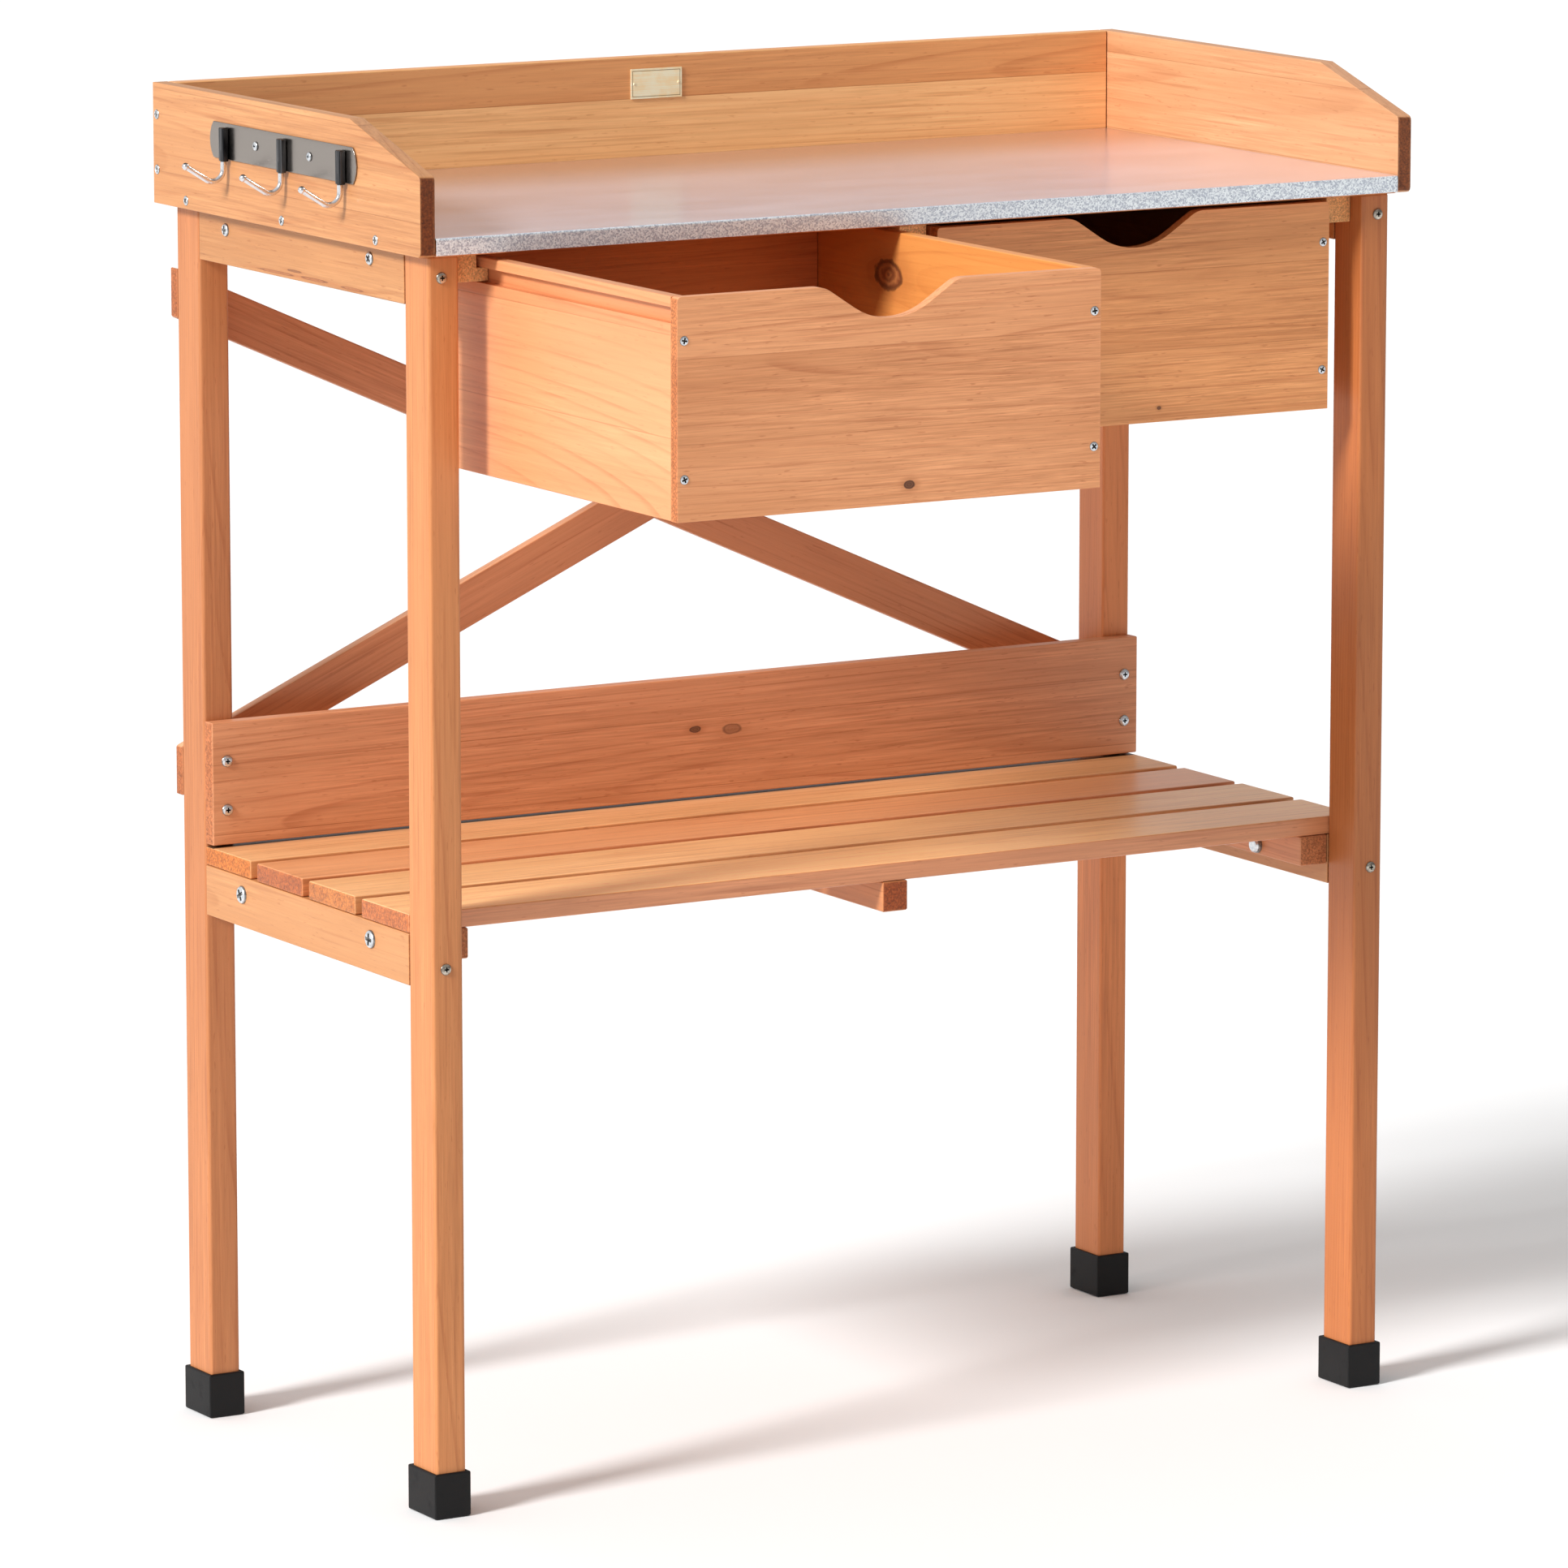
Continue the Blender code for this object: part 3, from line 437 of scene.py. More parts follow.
def build_corner_group():
    """Joins the faces' corners and shades them smooth, except where they meet at a crease."""
    tree = bpy.data.node_groups.new("soft_corners", "GeometryNodeTree")
    for way in ("INPUT", "OUTPUT"):
        tree.interface.new_socket("Geometry", in_out=way, socket_type="NodeSocketGeometry")
    g = Graph(tree)
    source = g.add("NodeGroupInput").outputs[0]
    plain = g.add("GeometryNodeRemoveAttribute", {"Geometry": source, "Name": "custom_normal"}).outputs[0]
    joined = g.add("GeometryNodeMergeByDistance", {"Geometry": plain, "Distance": MERGE}).outputs[0]
    smooth = g.add("GeometryNodeSetShadeSmooth", {"Geometry": joined, "Shade Smooth": True}, domain="FACE")
    angle = g.add("GeometryNodeInputMeshEdgeAngle").outputs["Unsigned Angle"]
    steep = g.add("FunctionNodeCompare", {"A": angle, "B": CREASE}, operation="GREATER_THAN")
    sharp = g.add("GeometryNodeSetShadeSmooth", domain="EDGE")
    g.put(sharp.inputs["Geometry"], smooth.outputs[0])
    g.put(sharp.inputs["Selection"], steep.outputs[0])
    g.put(sharp.inputs["Shade Smooth"], False)
    g.put(g.add("NodeGroupOutput").inputs[0], sharp.outputs[0])
    return tree


def soften_corners():
    corners = build_corner_group()
    for part in frame["nodes"].values():
        part.modifiers.new("soft_corners", "NODES").node_group = corners
        weighted = part.modifiers.new("even_faces", "WEIGHTED_NORMAL")
        weighted.keep_sharp = True
        weighted.weight = 60


# ---------------------------------------------------------------- the boards
ORANGE = shade(199, 129, 81)
AMBER = shade(191, 131, 82)
HONEY = shade(250, 189, 128)
YELLOW = shade(213, 147, 93)
RED = shade(198, 128, 85)

BRACE_TALL = 0.0364  # measured upright


def stain_legs():
    tones = {
        "leg_front_left": shade(197, 125, 73),
        "leg_front_right": shade(181, 106, 56),
        "leg_rear_left": shade(185, 115, 68),
        "leg_rear_right": shade(208, 125, 70),
    }
    for salt, (node, tone) in enumerate(tones.items(), start=3):
        wood(node, "Z", "X", tone, salt, ring=0.0030, pith=(0.03, 0.10), rings=0.38, fibre=0.72, cloud=0.20)


def stain_tray():
    wood("back_board", "X", "Z", HONEY, 11, strip=0.0453, strip_shift=0.0328, strip_change=0.05, lean=-0.24,
         ring=0.0040, pith=(0.02, 0.05), rings=0.40, fibre=0.70)
    wood("side_board_left", "Y", "Z", AMBER, 12, strip=0.060, strip_shift=0.020, strip_change=0.05,
         ring=0.0060, pith=(-0.01, 0.07), rings=0.42, fibre=0.85, cloud=0.42, end=0.30)
    wood("side_board_right", "Y", "Z", shade(198, 140, 96), 13, strip=0.058, strip_shift=0.030,
         strip_change=0.06, ring=0.0060, pith=(0.02, 0.06), rings=0.40, fibre=0.80, cloud=0.36, end=0.30)
    wood("worktop_panel", "X", "Y", ORANGE, 14, strip=0.066, strip_change=0.15)


def stain_rails():
    """The aprons, whose lower edges have thin dark marks, and the rails, cleats and runners."""
    marks = (
        (-0.022, -0.0150, 0.0200, 0.0011, 0.75),
        (0.036, -0.0155, 0.0280, 0.0010, 0.65),
        (0.008, -0.0120, 0.0110, 0.0009, 0.60),
        (-0.080, -0.0158, 0.0160, 0.0011, 0.60),
    )
    for number, side in enumerate(("left", "right")):
        wood("apron_" + side, "Y", "Z", shade(183, 125, 76), 16 + number, rings=0.40, pith=(0.01, 0.05),
             fibre=0.95, knots=marks)
        wood("shelf_rail_" + side, "Y", "Z", AMBER, 18 + number, rings=0.30, pith=(0.0, 0.07))
        wood("shelf_cleat_" + side, "Y", "X", RED, 20 + number, end=0.72)
        wood("runner_" + side, "Y", "X", HONEY, 22 + number, end=0.80)
    wood("shelf_cleat_middle", "Y", "X", ORANGE, 24, end=(0.52, 0.27, 0.13))
    wood("runner_centre", "Y", "X", HONEY, 25, end=0.80)


def stain_shelf():
    """The back board with its two knots, and slats whose tops are lightened by painted light from above, the
    front one most.
    """
    wood("shelf_back_board", "X", "Z", shade(211, 141, 97), 27, strip=0.052, strip_shift=0.038,
         strip_change=0.08, ring=0.0052, pith=(-0.03, 0.035), tilt=0.035, rings=0.60, fibre=0.90,
         knots=((0.0060, 0.0063, 0.0050, 0.0024, 0.9), (0.0380, 0.0040, 0.0085, 0.0040, 0.50)))
    board_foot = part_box("shelf_back_board")[0].y
    brown_end, red_end = (0.66, 0.44, 0.18), (0.55, 0.36, 0.12)
    # each slat: tone, painted light on its top, tint of its sawn ends, sheen, and the depth from which its
    # top gets painted shade under the back board
    slats = (
        (shade(206, 133, 88), (1.60, 2.35, 2.35), brown_end, 0.60, None),
        (YELLOW, (1.38, 1.76, 2.00), brown_end, 0.60, None),
        (shade(208, 128, 78), (1.24, 1.62, 1.90), red_end, 0.60, None),
        (shade(218, 146, 90), (1.12, 1.45, 1.76), brown_end, 0.25, board_foot),
    )
    for number, (tone, painted_top_light, sawn, sheen, covered) in enumerate(slats):
        wood(f"shelf_slat_{number + 1}", "X", "Y", tone, 31 + number, ring=0.0050, rings=0.45, fibre=0.95,
             pith=(0.01 * number, 0.06), end=sawn, top=painted_top_light, sheen=sheen, covered=covered)


def stain_braces():
    low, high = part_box("brace_rising")
    slope = math.atan2((high.z - low.z) - BRACE_TALL, high.x - low.x)
    for salt, node, turn in ((37, "brace_rising", slope), (38, "brace_falling", -slope)):
        lengthways = Vector((math.cos(turn), 0.0, math.sin(turn)))
        crossways = Vector((-math.sin(turn), 0.0, math.cos(turn)))
        # top lightens the upper faces with painted light from above
        wood(node, lengthways, crossways, RED, salt, rings=0.45, pith=(0.03, 0.04), worn=0.0,
             top=(1.30, 1.55, 1.75))


def stain_drawer(word, salt, front_tone, front_knot, side_knots=()):
    name = f"drawer_{word}_"
    wood(name + "front", "X", "Z", front_tone, salt, strip=0.058, strip_shift=0.024, strip_change=0.08,
         ring=0.0060, pith=(0.03, 0.03), tilt=0.05, rings=0.48, fibre=0.95, fine=0.75, cloud=0.34, end=0.62,
         knots=(front_knot,))
    wood(name + "side_left", "Y", "Z", shade(220, 146, 97), salt + 1, strip=0.07, strip_shift=0.02,
         strip_change=0.04, ring=0.0085, pith=(-0.088, 0.022), tilt=0.16, rings=0.42, fibre=0.45)
    wood(name + "side_right", "Y", "Z", shade(221, 141, 71), salt + 2, ring=0.0075, pith=(0.04, 0.02),
         tilt=-0.10, rings=0.42, fibre=0.35, knots=side_knots)
    wood(name + "back", "X", "Z", shade(202, 126, 78), salt + 3, rings=0.5)
    wood(name + "bottom", "X", "Y", shade(202, 154, 108), salt + 4, ring=0.012, pith=(0.1, 0.02), rings=0.35)


# ---------------------------------------------------------------- metal, rubber and brass
HOOK_TAB = 0.0240
BROWN_REAR_REACH = 0.15

BRIGHT_ZINC = (shade(200, 206, 212), shade(236, 238, 240))
DULL_ZINC = (shade(138, 130, 120), shade(206, 198, 184))
# painted shade: the dark zinc of the cross recesses, and the shaded zinc of the heads' edges
RECESS_SHADE_ZINC = (shade(34, 31, 29), shade(60, 56, 52))
SHADED_ZINC = (shade(122, 120, 118), shade(160, 158, 156))


def galvanised():
    """Rolled zinc sheet: smooth and faintly scratched on top, spangled where it is folded down."""
    material, g, shader, where = new_material("galvanised_sheet")
    flat = g.ramp(g.split(g.normal())[2], 0.80, 0.98)
    folded = g.minus(1.0, flat)
    cells = g.add("ShaderNodeTexVoronoi", {"Vector": where, "Scale": 1000.0}).outputs["Color"]
    speck = g.noise(where, even(1700.0), roughness=0.7)
    spangle = g.plus(g.times(g.split(cells)[0], 0.5), g.times(speck, 0.5))
    lip = g.mix(g.ramp(spangle, 0.22, 0.72), shade(174, 181, 195), shade(246, 252, 255))

    cloud = g.noise(where, (9.0, 22.0, 9.0), detail=3.0)
    lines = g.noise(where, (12.0, 900.0, 12.0), roughness=0.6)
    top = g.mix(g.ramp(g.plus(lines, cloud), 0.70, 1.30), shade(224, 219, 230), shade(240, 234, 244))
    scratch = g.ramp(g.noise(where, (900.0, 26.0, 900.0), detail=0.0), 0.78, 0.84)
    top = g.mix(g.times(scratch, 0.35), top, shade(248, 248, 250))
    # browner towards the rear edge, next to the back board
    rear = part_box("worktop_sheet")[1].y
    from_rear = g.minus(rear, g.plus(g.split(where)[1], g.times(cloud, 0.04)))
    top = g.mix(g.times(g.ramp(from_rear, BROWN_REAR_REACH, 0.01), 0.75), top, shade(206, 164, 126))

    smooth = g.plus(0.17, g.times(g.plus(cloud, lines), 0.06))
    rough = g.plus(0.34, g.times(spangle, 0.25))
    g.put(shader.inputs["Base Color"], g.mix(flat, lip, top))
    g.put(shader.inputs["Metallic"], g.plus(0.42, g.times(flat, 0.20)))
    g.put(shader.inputs["Roughness"], g.plus(g.times(smooth, flat), g.times(rough, folded)))
    g.bump(shader, g.times(spangle, g.minus(1.0, g.times(flat, 0.92))), 0.35, 0.00010)
    return material


def rail_steel():
    """Dark steel strip, brushed lengthways."""
    contrast = 0.16
    material, g, shader, where = new_material("rail_steel")
    lines = g.noise(where, (30.0, 14.0, 1800.0), detail=3.0, roughness=0.6)
    cloud = g.noise(where, even(40.0))
    level = g.plus(1.0 - contrast / 2, g.times(lines, contrast))
    g.put(shader.inputs["Base Color"], g.brighten(shade(152, 144, 137), level))
    shader.inputs["Metallic"].default_value = 1.0
    g.put(shader.inputs["Roughness"], g.plus(0.14, g.times(g.plus(lines, cloud), 0.08)))
    g.bump(shader, lines, 0.15, 0.00005)
    return material


def hook_metal():
    """Bright wire below, and a ribbed strip where the tab stands on the rail, painted near black as a
    painted dark reflection in its chrome.
    """
    tab_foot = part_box("hook_middle")[1].z - HOOK_TAB
    material, g, shader, where = new_material("hook_metal")
    on_tab = g.ramp(g.split(where)[2], tab_foot - 0.0008, tab_foot + 0.0002)
    ribs = g.noise(where, (60.0, 1100.0, 14.0), roughness=0.6)
    # painted dark reflection: the tab's chrome shown near black
    dark = g.mix(g.ramp(ribs, 0.40, 0.66), shade(24, 24, 26), shade(104, 104, 106))
    tarnish = g.noise(where, even(260.0))
    bright = g.mix(tarnish, shade(214, 214, 218), shade(240, 240, 242))
    g.put(shader.inputs["Base Color"], g.mix(on_tab, bright, dark))
    shader.inputs["Metallic"].default_value = 1.0
    g.put(shader.inputs["Roughness"], g.plus(0.22, g.times(on_tab, 0.10)))
    g.bump(shader, g.times(ribs, on_tab), 0.25, 0.0001)
    return material


def zinc(name, low_shade, high_shade):
    """Plated steel, stained between the two shades."""
    material, g, shader, where = new_material(name)
    stain = g.noise(where, even(420.0), detail=3.0)
    grit = g.noise(where, even(2600.0), detail=1.0)
    tone = g.mix(g.ramp(stain, 0.35, 0.7), low_shade, high_shade)
    shader.inputs["Metallic"].default_value = 0.9
    g.put(shader.inputs["Base Color"], tone)
    g.put(shader.inputs["Roughness"], g.plus(0.20, g.times(stain, 0.18)))
    g.bump(shader, grit, 0.15, 0.00004)
    return material, g, shader, where, tone


def cad_screw(node, depth_axis, cross_axis):
    """Bright head, with painted shade in the cross recess, which lies below the dome near the screw's axis,
    and a painted shadow round its edge.
    """
    low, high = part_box(node)
    radius = (high.z - low.z) / 2
    shades = DULL_ZINC if node.startswith("leg") else BRIGHT_ZINC
    material, g, shader, where, tone = zinc("zinc_" + node, *shades)
    depth = g.split(g.vector("SUBTRACT", where, tuple(low)))[depth_axis]
    offset = g.split(g.vector("SUBTRACT", where, tuple((low + high) / 2)))
    away = g.vector("LENGTH", g.join(offset[cross_axis], offset[2], 0.0))
    # painted shade in the cross recess
    sunk = g.ramp(depth, radius * 0.04, radius * 0.10)
    recess_shade = g.times(sunk, g.ramp(away, radius * 0.68, radius * 0.62))
    # painted shadow round the head's edge, where it meets the wood
    rim = g.times(g.ramp(away, radius * 0.80, radius * 0.97), 0.75)
    tone = g.mix(rim, tone, shade(112, 104, 98))
    g.put(shader.inputs["Base Color"], g.mix(recess_shade, tone, shade(26, 22, 20)))
    return material


def rubber():
    material, g, shader, where = new_material("rubber_black")
    grain = g.noise(where, even(900.0), detail=3.0)
    dust = g.ramp(g.noise(where, even(60.0), detail=4.0, roughness=0.65), 0.50, 0.80)
    g.put(shader.inputs["Base Color"], g.mix(g.times(dust, 0.5), shade(12, 12, 13), shade(30, 30, 31)))
    g.put(shader.inputs["Roughness"], g.plus(0.52, g.times(dust, 0.22)))
    shader.inputs["Specular IOR Level"].default_value = 0.28
    g.bump(shader, grain, 0.35, 0.00015)
    return material


def brass():
    """Satin plate with a fine engraved border and nothing written on it."""
    material, g, shader, where = new_material("brass_plate")
    dx, _, dz = g.depth_inside(where, *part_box("name_plate"))
    rim = g.math("MINIMUM", dx, dz)
    border = g.times(g.ramp(rim, 0.0013, 0.0016), g.ramp(rim, 0.0021, 0.0018))
    lines = g.noise(where, (30.0, 30.0, 2600.0), roughness=0.6)
    cloud = g.noise(where, even(110.0), detail=3.0)
    tone = g.mix(g.ramp(g.plus(lines, cloud), 0.75, 1.25), shade(255, 229, 178), shade(255, 249, 218))
    g.put(shader.inputs["Base Color"], g.mix(g.times(border, 0.8), tone, shade(104, 78, 40)))
    shader.inputs["Metallic"].default_value = 0.22
    g.put(shader.inputs["Roughness"], g.plus(0.24, g.times(lines, 0.14)))
    g.bump(shader, g.minus(g.times(lines, 0.3), border), 0.4, 0.0001)
    return material


ZINC = zinc("screw_zinc", *BRIGHT_ZINC)[0]
# painted shade in the recesses and round the edges of the added screw heads
RECESS_SHADE = zinc("screw_recess", *RECESS_SHADE_ZINC)[0]
EDGE = zinc("screw_edge", *SHADED_ZINC)[0]
BRASS = brass()


def dress_fittings():
    """Materials of the sheet, the rail, the plate, the hooks, the caps and the screws made in CAD."""
    black, hook = rubber(), hook_metal()
    dress("worktop_sheet", galvanised())
    dress("hook_rail", rail_steel())
    dress("name_plate", BRASS)
    for node in ("hook_front", "hook_middle", "hook_rear"):
        dress(node, hook)
    for node in frame["nodes"]:
        if node.startswith("foot_cap"):
            dress(node, black)
        elif node.startswith("hook_screw"):
            dress(node, cad_screw(node, 0, 1))
        elif "screw" in node:
            dress(node, cad_screw(node, 1, 0))


# ---------------------------------------------------------------- the other screws
HEAD_SLOT, RECESS_SLOT, EDGE_SLOT = 0, 1, 2
HEAD_SIDES = 24
HEAD_CREASE = math.radians(38.0)
# (share of the radius, share of the rise) from the edge to the flat of the dome; two steps are edge
HEAD_RINGS = ((1.0, -0.10), (1.0, 0.20), (0.92, 0.62), (0.84, 0.88), (0.74, 1.0))
EDGE_STEPS = 2
# the cross: length and half width of an arm as shares of the radius, taper and height of its floor
CROSS_ARM, CROSS_HALF = 0.66, 0.19
CROSS_TAPER, CROSS_FLOOR = 0.75, 0.2


def cut_cross(work, rim, radius, top):
    """Fills the dome's top round a cross, and sinks the cross no deeper than the head stands."""
    arm, half = radius * CROSS_ARM, radius * CROSS_HALF
    corner = [(arm, half), (half, half), (half, arm)]
    cross = []
    for _ in range(4):
        cross += corner
        corner = [(-y, x) for x, y in corner]
    upper = [work.verts.new((x, y, top)) for x, y in cross]
    lower = [work.verts.new((x * CROSS_TAPER, y * CROSS_TAPER, top * CROSS_FLOOR)) for x, y in cross]
    edges = []
    sunk = [work.faces.new(lower)]
    for step in range(len(cross)):
        after = (step + 1) % len(cross)
        edges.append(work.edges.new((upper[step], upper[after])))
        sunk.append(work.faces.new((upper[after], upper[step], lower[step], lower[after])))
    for face in sunk:
        face.material_index = RECESS_SLOT
    for step in range(len(rim)):
        edges.append(work.edges.get((rim[step], rim[(step + 1) % len(rim)])))
    bmesh.ops.triangle_fill(work, use_beauty=True, use_dissolve=False, edges=edges)


class Fittings:
    """Screw heads that belong to one body, gathered in one mesh."""

    def __init__(self, name, body, slot="screw_zinc", material=ZINC, recess=RECESS_SHADE):
        self.name, self.body, self.slot, self.material, self.recess = name, body, slot, material, recess
        self.mesh = bmesh.new()

    def head(self, at, outward, radius, rise, turn=0.3, recess=True):
        """A round head whose edge lies on the surface at that point, domed by rise, with a cross recess."""
        work = bmesh.new()
        loops = []
        for spread, lift in HEAD_RINGS:
            loop = []
            for step in range(HEAD_SIDES):
                angle = 2 * math.pi * step / HEAD_SIDES
                x, y = radius * spread * math.cos(angle), radius * spread * math.sin(angle)
                loop.append(work.verts.new((x, y, rise * lift)))
            loops.append(loop)
        for number, (outer, inner) in enumerate(zip(loops, loops[1:])):
            for step in range(HEAD_SIDES):
                after = (step + 1) % HEAD_SIDES
                side = work.faces.new((outer[step], outer[after], inner[after], inner[step]))
                side.material_index = EDGE_SLOT if number < EDGE_STEPS else HEAD_SLOT
        if recess:
            cut_cross(work, loops[-1], radius, rise)
        else:
            work.faces.new(loops[-1])
        bmesh.ops.recalc_face_normals(work, faces=work.faces)
        facing = Vector(outward).to_track_quat("Z", "Y").to_matrix().to_4x4()
        placed = Matrix.Translation(at) @ facing @ Matrix.Rotation(turn, 4, "Z")
        bmesh.ops.transform(work, matrix=placed, verts=work.verts)
        piece = bpy.data.meshes.new("head")
        work.to_mesh(piece)
        work.free()
        self.mesh.from_mesh(piece)
        bpy.data.meshes.remove(piece)

    def finish(self):
        mesh = bpy.data.meshes.new(self.name)
        self.mesh.to_mesh(mesh)
        self.mesh.free()
        mesh.shade_smooth()
        mesh.set_sharp_from_angle(angle=HEAD_CREASE)
        # the third slot, for the two edge steps, is painted shade on zinc heads
        for material in (self.material, self.recess, EDGE if self.material is ZINC else self.material):
            mesh.materials.append(material)
        made = bpy.data.objects.new(self.name, mesh)
        bpy.context.scene.collection.objects.link(made)
        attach(made, self.body)


def outer_face(node, side):
    """The node's box, and the X of its face on that side of the bench."""
    low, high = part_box(node)
    return low, high, low.x if side < 0 else high.x


def add_tray_screws():
    """Two at the rear of each side board, and three along its foot."""
    radius, inset = 0.0036, 0.0062
    heads = Fittings("tray_screws", "frame", recess=EDGE)
    for side, word in SIDES:
        low, high, face = outer_face("side_board_" + word, side)
        rise = 0.0007 if side < 0 else 0.0003  # flatter on the right, where nothing else stands out as far
        spots = [(high.y - inset, high.z - drop) for drop in (0.023, 0.063)]
        spots += [(high.y - back, low.z + inset) for back in (0.0515, 0.2005, 0.3415)]
        for number, (y, z) in enumerate(spots):
            heads.head((face, y, z), (side, 0, 0), radius, rise, turn=0.4 * number)
    heads.finish()


def add_rail_screws():
    """Outside the aprons and the shelf rails, and plain heads inside the shelf's cleats."""
    # each head's radius and rise
    apron_head, rail_head, cleat_head = (0.0048, 0.0017), (0.0067, 0.0022), (0.0062, 0.0048)
    heads = Fittings("rail_screws", "frame", recess=EDGE)
    for side, word in SIDES:
        low, high, face = outer_face("apron_" + word, side)
        spots = ((high.y - 0.0427, high.z - 0.0115), (low.y + 0.0497, high.z - 0.0100))
        for number, (y, z) in enumerate(spots):
            heads.head((face, y, z), (side, 0, 0), *apron_head, turn=0.9 * number)
        low, high, face = outer_face("shelf_rail_" + word, side)
        for number, y in enumerate((high.y - 0.0577, low.y + 0.0563)):
            heads.head((face, y, high.z - 0.0130), (side, 0, 0), *rail_head, turn=0.5 + number)
        low, high, face = outer_face("shelf_cleat_" + word, -side)
        for number, y in enumerate((high.y - 0.0577, low.y + 0.0577)):
            heads.head((face, y, high.z - 0.0145), (-side, 0, 0), *cleat_head, turn=number, recess=False)
    heads.finish()


def add_underside_screws():
    """One up through each cleat into each slat, and three up through each runner."""
    radius, cleat_rise, runner_rise, edge_distance = 0.0036, 0.0010, 0.0004, 0.01
    downward = (0, 0, -1)
    heads = Fittings("underside_screws", "frame")
    for word in ("left", "middle", "right"):
        low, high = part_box("shelf_cleat_" + word)
        for number in range(1, 5):
            slat_low, slat_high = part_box(f"shelf_slat_{number}")
            y = min(max((slat_low.y + slat_high.y) / 2, low.y + edge_distance), high.y - edge_distance)
            heads.head(((low.x + high.x) / 2, y, low.z), downward, radius, cleat_rise, turn=number)
    for word, inward in (("left", -0.006), ("centre", 0.0), ("right", 0.006)):
        low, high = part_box("runner_" + word)
        for number, share in enumerate((0.10, 0.50, 0.90)):
            y = low.y + share * (high.y - low.y)
            heads.head(((low.x + high.x) / 2 + inward, y, low.z), downward, radius, runner_rise, turn=number)
    heads.finish()


def add_brace_screws():
    """Two at each end of each brace, and one where the braces cross."""
    radius, rise, half_pair, slant = 0.0038, 0.0012, 0.008, 0.7
    end_inset, top_drop, foot_lift = 0.012, 0.0225, 0.0195
    backward = (0, 1, 0)
    heads = Fittings("brace_screws", "frame")
    low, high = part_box("brace_rising")
    for x in (low.x + end_inset, high.x - end_inset):
        for z in (high.z - top_drop, low.z + foot_lift):
            for offset in (-half_pair, half_pair):
                spot = (x + offset * slant, high.y, z + offset)
                heads.head(spot, backward, radius, rise, turn=z + offset * 90)
    heads.head(((low.x + high.x) / 2, high.y, (low.z + high.z) / 2), backward, radius, rise)
    heads.finish()


def add_drawer_screws(word):
    """Four through the front into the sides, and two through each side into the back."""
    radius, front_dome, side_dome = 0.0033, 0.0006, 0.0002
    front_inset, back_inset = 0.0053, 0.0044
    lower, upper_front, upper_side = 0.029, 0.123, 0.110
    heads = Fittings(f"drawer_{word}_screws", word + "_drawer")
    low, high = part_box(f"drawer_{word}_front")
    for x in (low.x + front_inset, high.x - front_inset):
        for number, up in enumerate((lower, upper_front)):
            heads.head((x, low.y, low.z + up), (0, -1, 0), radius, front_dome, turn=0.7 + number + x)
    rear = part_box(f"drawer_{word}_back")[0].y + back_inset
    for side, hand in SIDES:
        low, high, face = outer_face(f"drawer_{word}_side_{hand}", side)
        for up in (lower, upper_side):
            heads.head((face, rear, low.z + up), (side, 0, 0), radius, side_dome, turn=up * 30)
    heads.finish()


def add_plate_pins():
    radius, rise, inset = 0.0011, 0.0005, 0.0030
    pins = Fittings("plate_pins", "frame", "brass", BRASS)
    low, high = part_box("name_plate")
    for x in (low.x + inset, high.x - inset):
        pins.head((x, low.y, (low.z + high.z) / 2), (0, -1, 0), radius, rise, recess=False)
    pins.finish()


# ---------------------------------------------------------------- floor, light and camera
FLOOR_HALF = 40.0
FLOOR_GAP = 0.0004

SKY_STRENGTH, SKY_SWELL = 0.46, 0.7
SKY_BRIGHT_WAY = (-0.55, 0.60, 0.58)

SUN_POWER, SUN_SPREAD = 3.6, math.radians(13.0)
SUN_HEIGHT, SUN_TO_FRONT = math.radians(31.0), math.radians(12.0)

LENS, SENSOR = 212.63, 36.0
CAMERA_AT = (-3.4017, -5.6689, 1.6390)
CAMERA_DOWN, CAMERA_TO_RIGHT = math.radians(9.916), math.radians(30.549)


def add_floor():
    mesh = bpy.data.meshes.new("floor")
    corners = [(x * FLOOR_HALF, y * FLOOR_HALF, -FLOOR_GAP) for x, y in ((-1, -1), (1, -1), (1, 1), (-1, 1))]
    mesh.from_pydata(corners, [], [(0, 1, 2, 3)])
    floor = bpy.data.objects.new("floor", mesh)
    bpy.context.scene.collection.objects.link(floor)
    material, g, shader, where = new_material("floor_pale")
    mottle = g.noise(where, even(1.5))
    g.put(shader.inputs["Base Color"], g.mix(mottle, shade(246, 246, 246), shade(250, 250, 250)))
    shader.inputs["Roughness"].default_value = 0.9
    shader.inputs["Specular IOR Level"].default_value = 0.1
    mesh.materials.append(material)


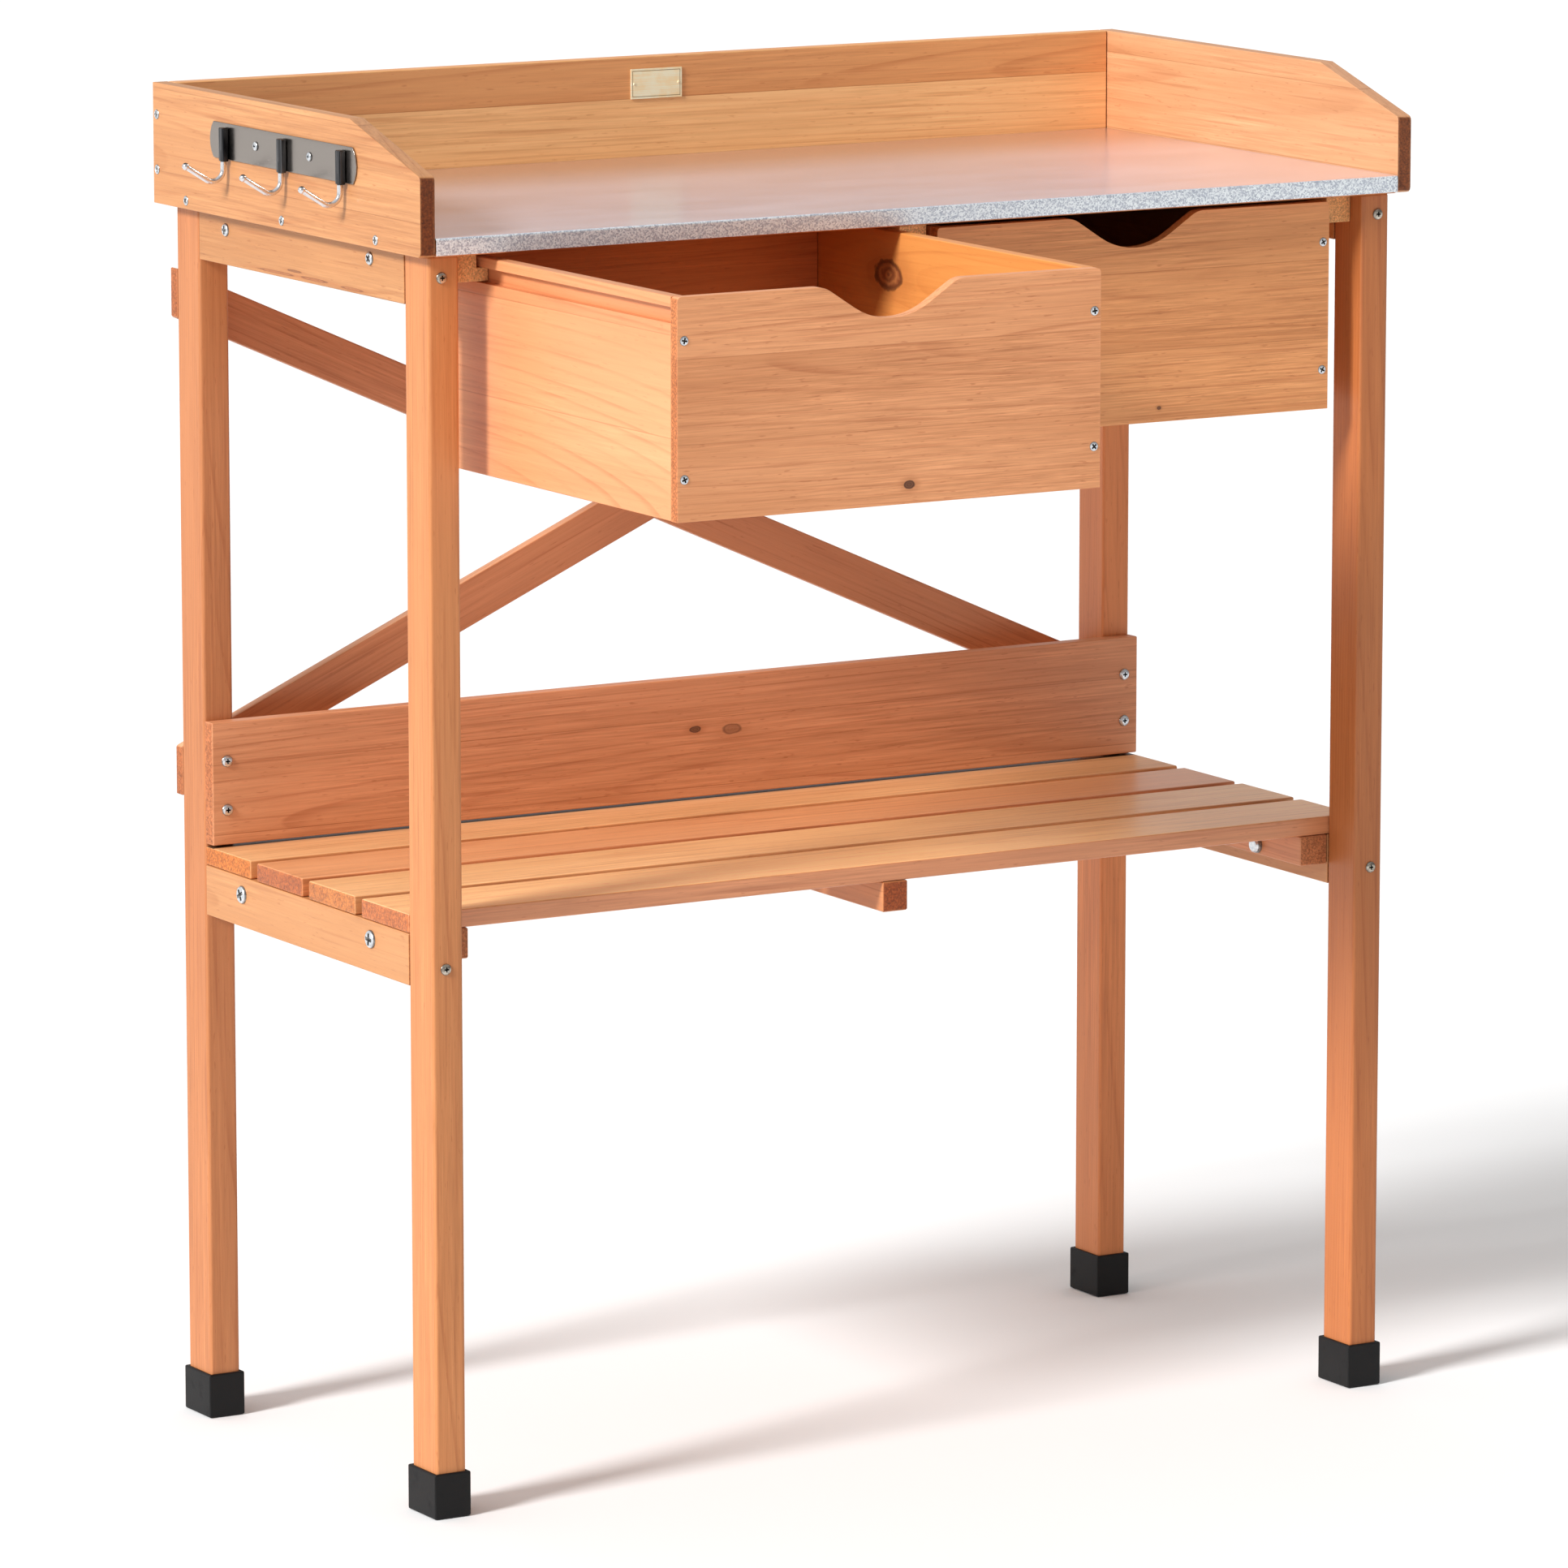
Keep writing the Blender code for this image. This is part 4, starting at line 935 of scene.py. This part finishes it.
def add_sky():
    """A white sky, brightest high behind the left of the bench."""
    world = bpy.data.worlds.new("studio")
    world.use_nodes = True
    g = Graph(world.node_tree)
    toward = g.vector("NORMALIZE", g.add("ShaderNodeTexCoord").outputs["Generated"])
    swell = g.vector("DOT_PRODUCT", toward, SKY_BRIGHT_WAY)
    sky = world.node_tree.nodes["Background"]
    sky.inputs["Color"].default_value = (1.0, 1.0, 1.0, 1.0)
    g.put(sky.inputs["Strength"], g.times(g.plus(1.0, g.times(swell, SKY_SWELL)), SKY_STRENGTH))
    bpy.context.scene.world = world


def add_sun():
    """The key light, from the left and a little to the front."""
    data = bpy.data.lights.new("key_left", "SUN")
    data.energy = SUN_POWER
    data.angle = SUN_SPREAD
    sun = bpy.data.objects.new("key_left", data)
    bpy.context.scene.collection.objects.link(sun)
    sun.location = (-3.0, -1.2, 2.4)
    level = math.cos(SUN_HEIGHT)
    toward = Vector((-level * math.cos(SUN_TO_FRONT), -level * math.sin(SUN_TO_FRONT), math.sin(SUN_HEIGHT)))
    sun.rotation_euler = toward.to_track_quat("Z", "Y").to_euler()


def add_camera():
    data = bpy.data.cameras.new("camera")
    data.lens = LENS
    data.sensor_width = SENSOR
    data.clip_start = 0.5
    data.clip_end = 200.0
    camera = bpy.data.objects.new("camera", data)
    bpy.context.scene.collection.objects.link(camera)
    camera.location = CAMERA_AT
    camera.rotation_euler = (math.pi / 2 - CAMERA_DOWN, 0.0, -CAMERA_TO_RIGHT)
    bpy.context.scene.camera = camera
    bpy.context.scene.view_settings.view_transform = "Standard"


# ---------------------------------------------------------------- the scene
soften_corners()
stain_legs()
stain_tray()
stain_rails()
stain_shelf()
stain_braces()
stain_drawer("left", 41, shade(216, 143, 93), (0.0139, -0.0630, 0.0044, 0.0030, 1.0),
             side_knots=((0.0753, 0.0448, 0.0190, 0.0110, 1.0),))
stain_drawer("right", 51, shade(214, 141, 85), (0.0210, -0.0660, 0.0017, 0.0013, 0.9))
dress_fittings()
add_tray_screws()
add_rail_screws()
add_underside_screws()
add_brace_screws()
add_drawer_screws("left")
add_drawer_screws("right")
add_plate_pins()
add_floor()
add_sky()
add_sun()
add_camera()
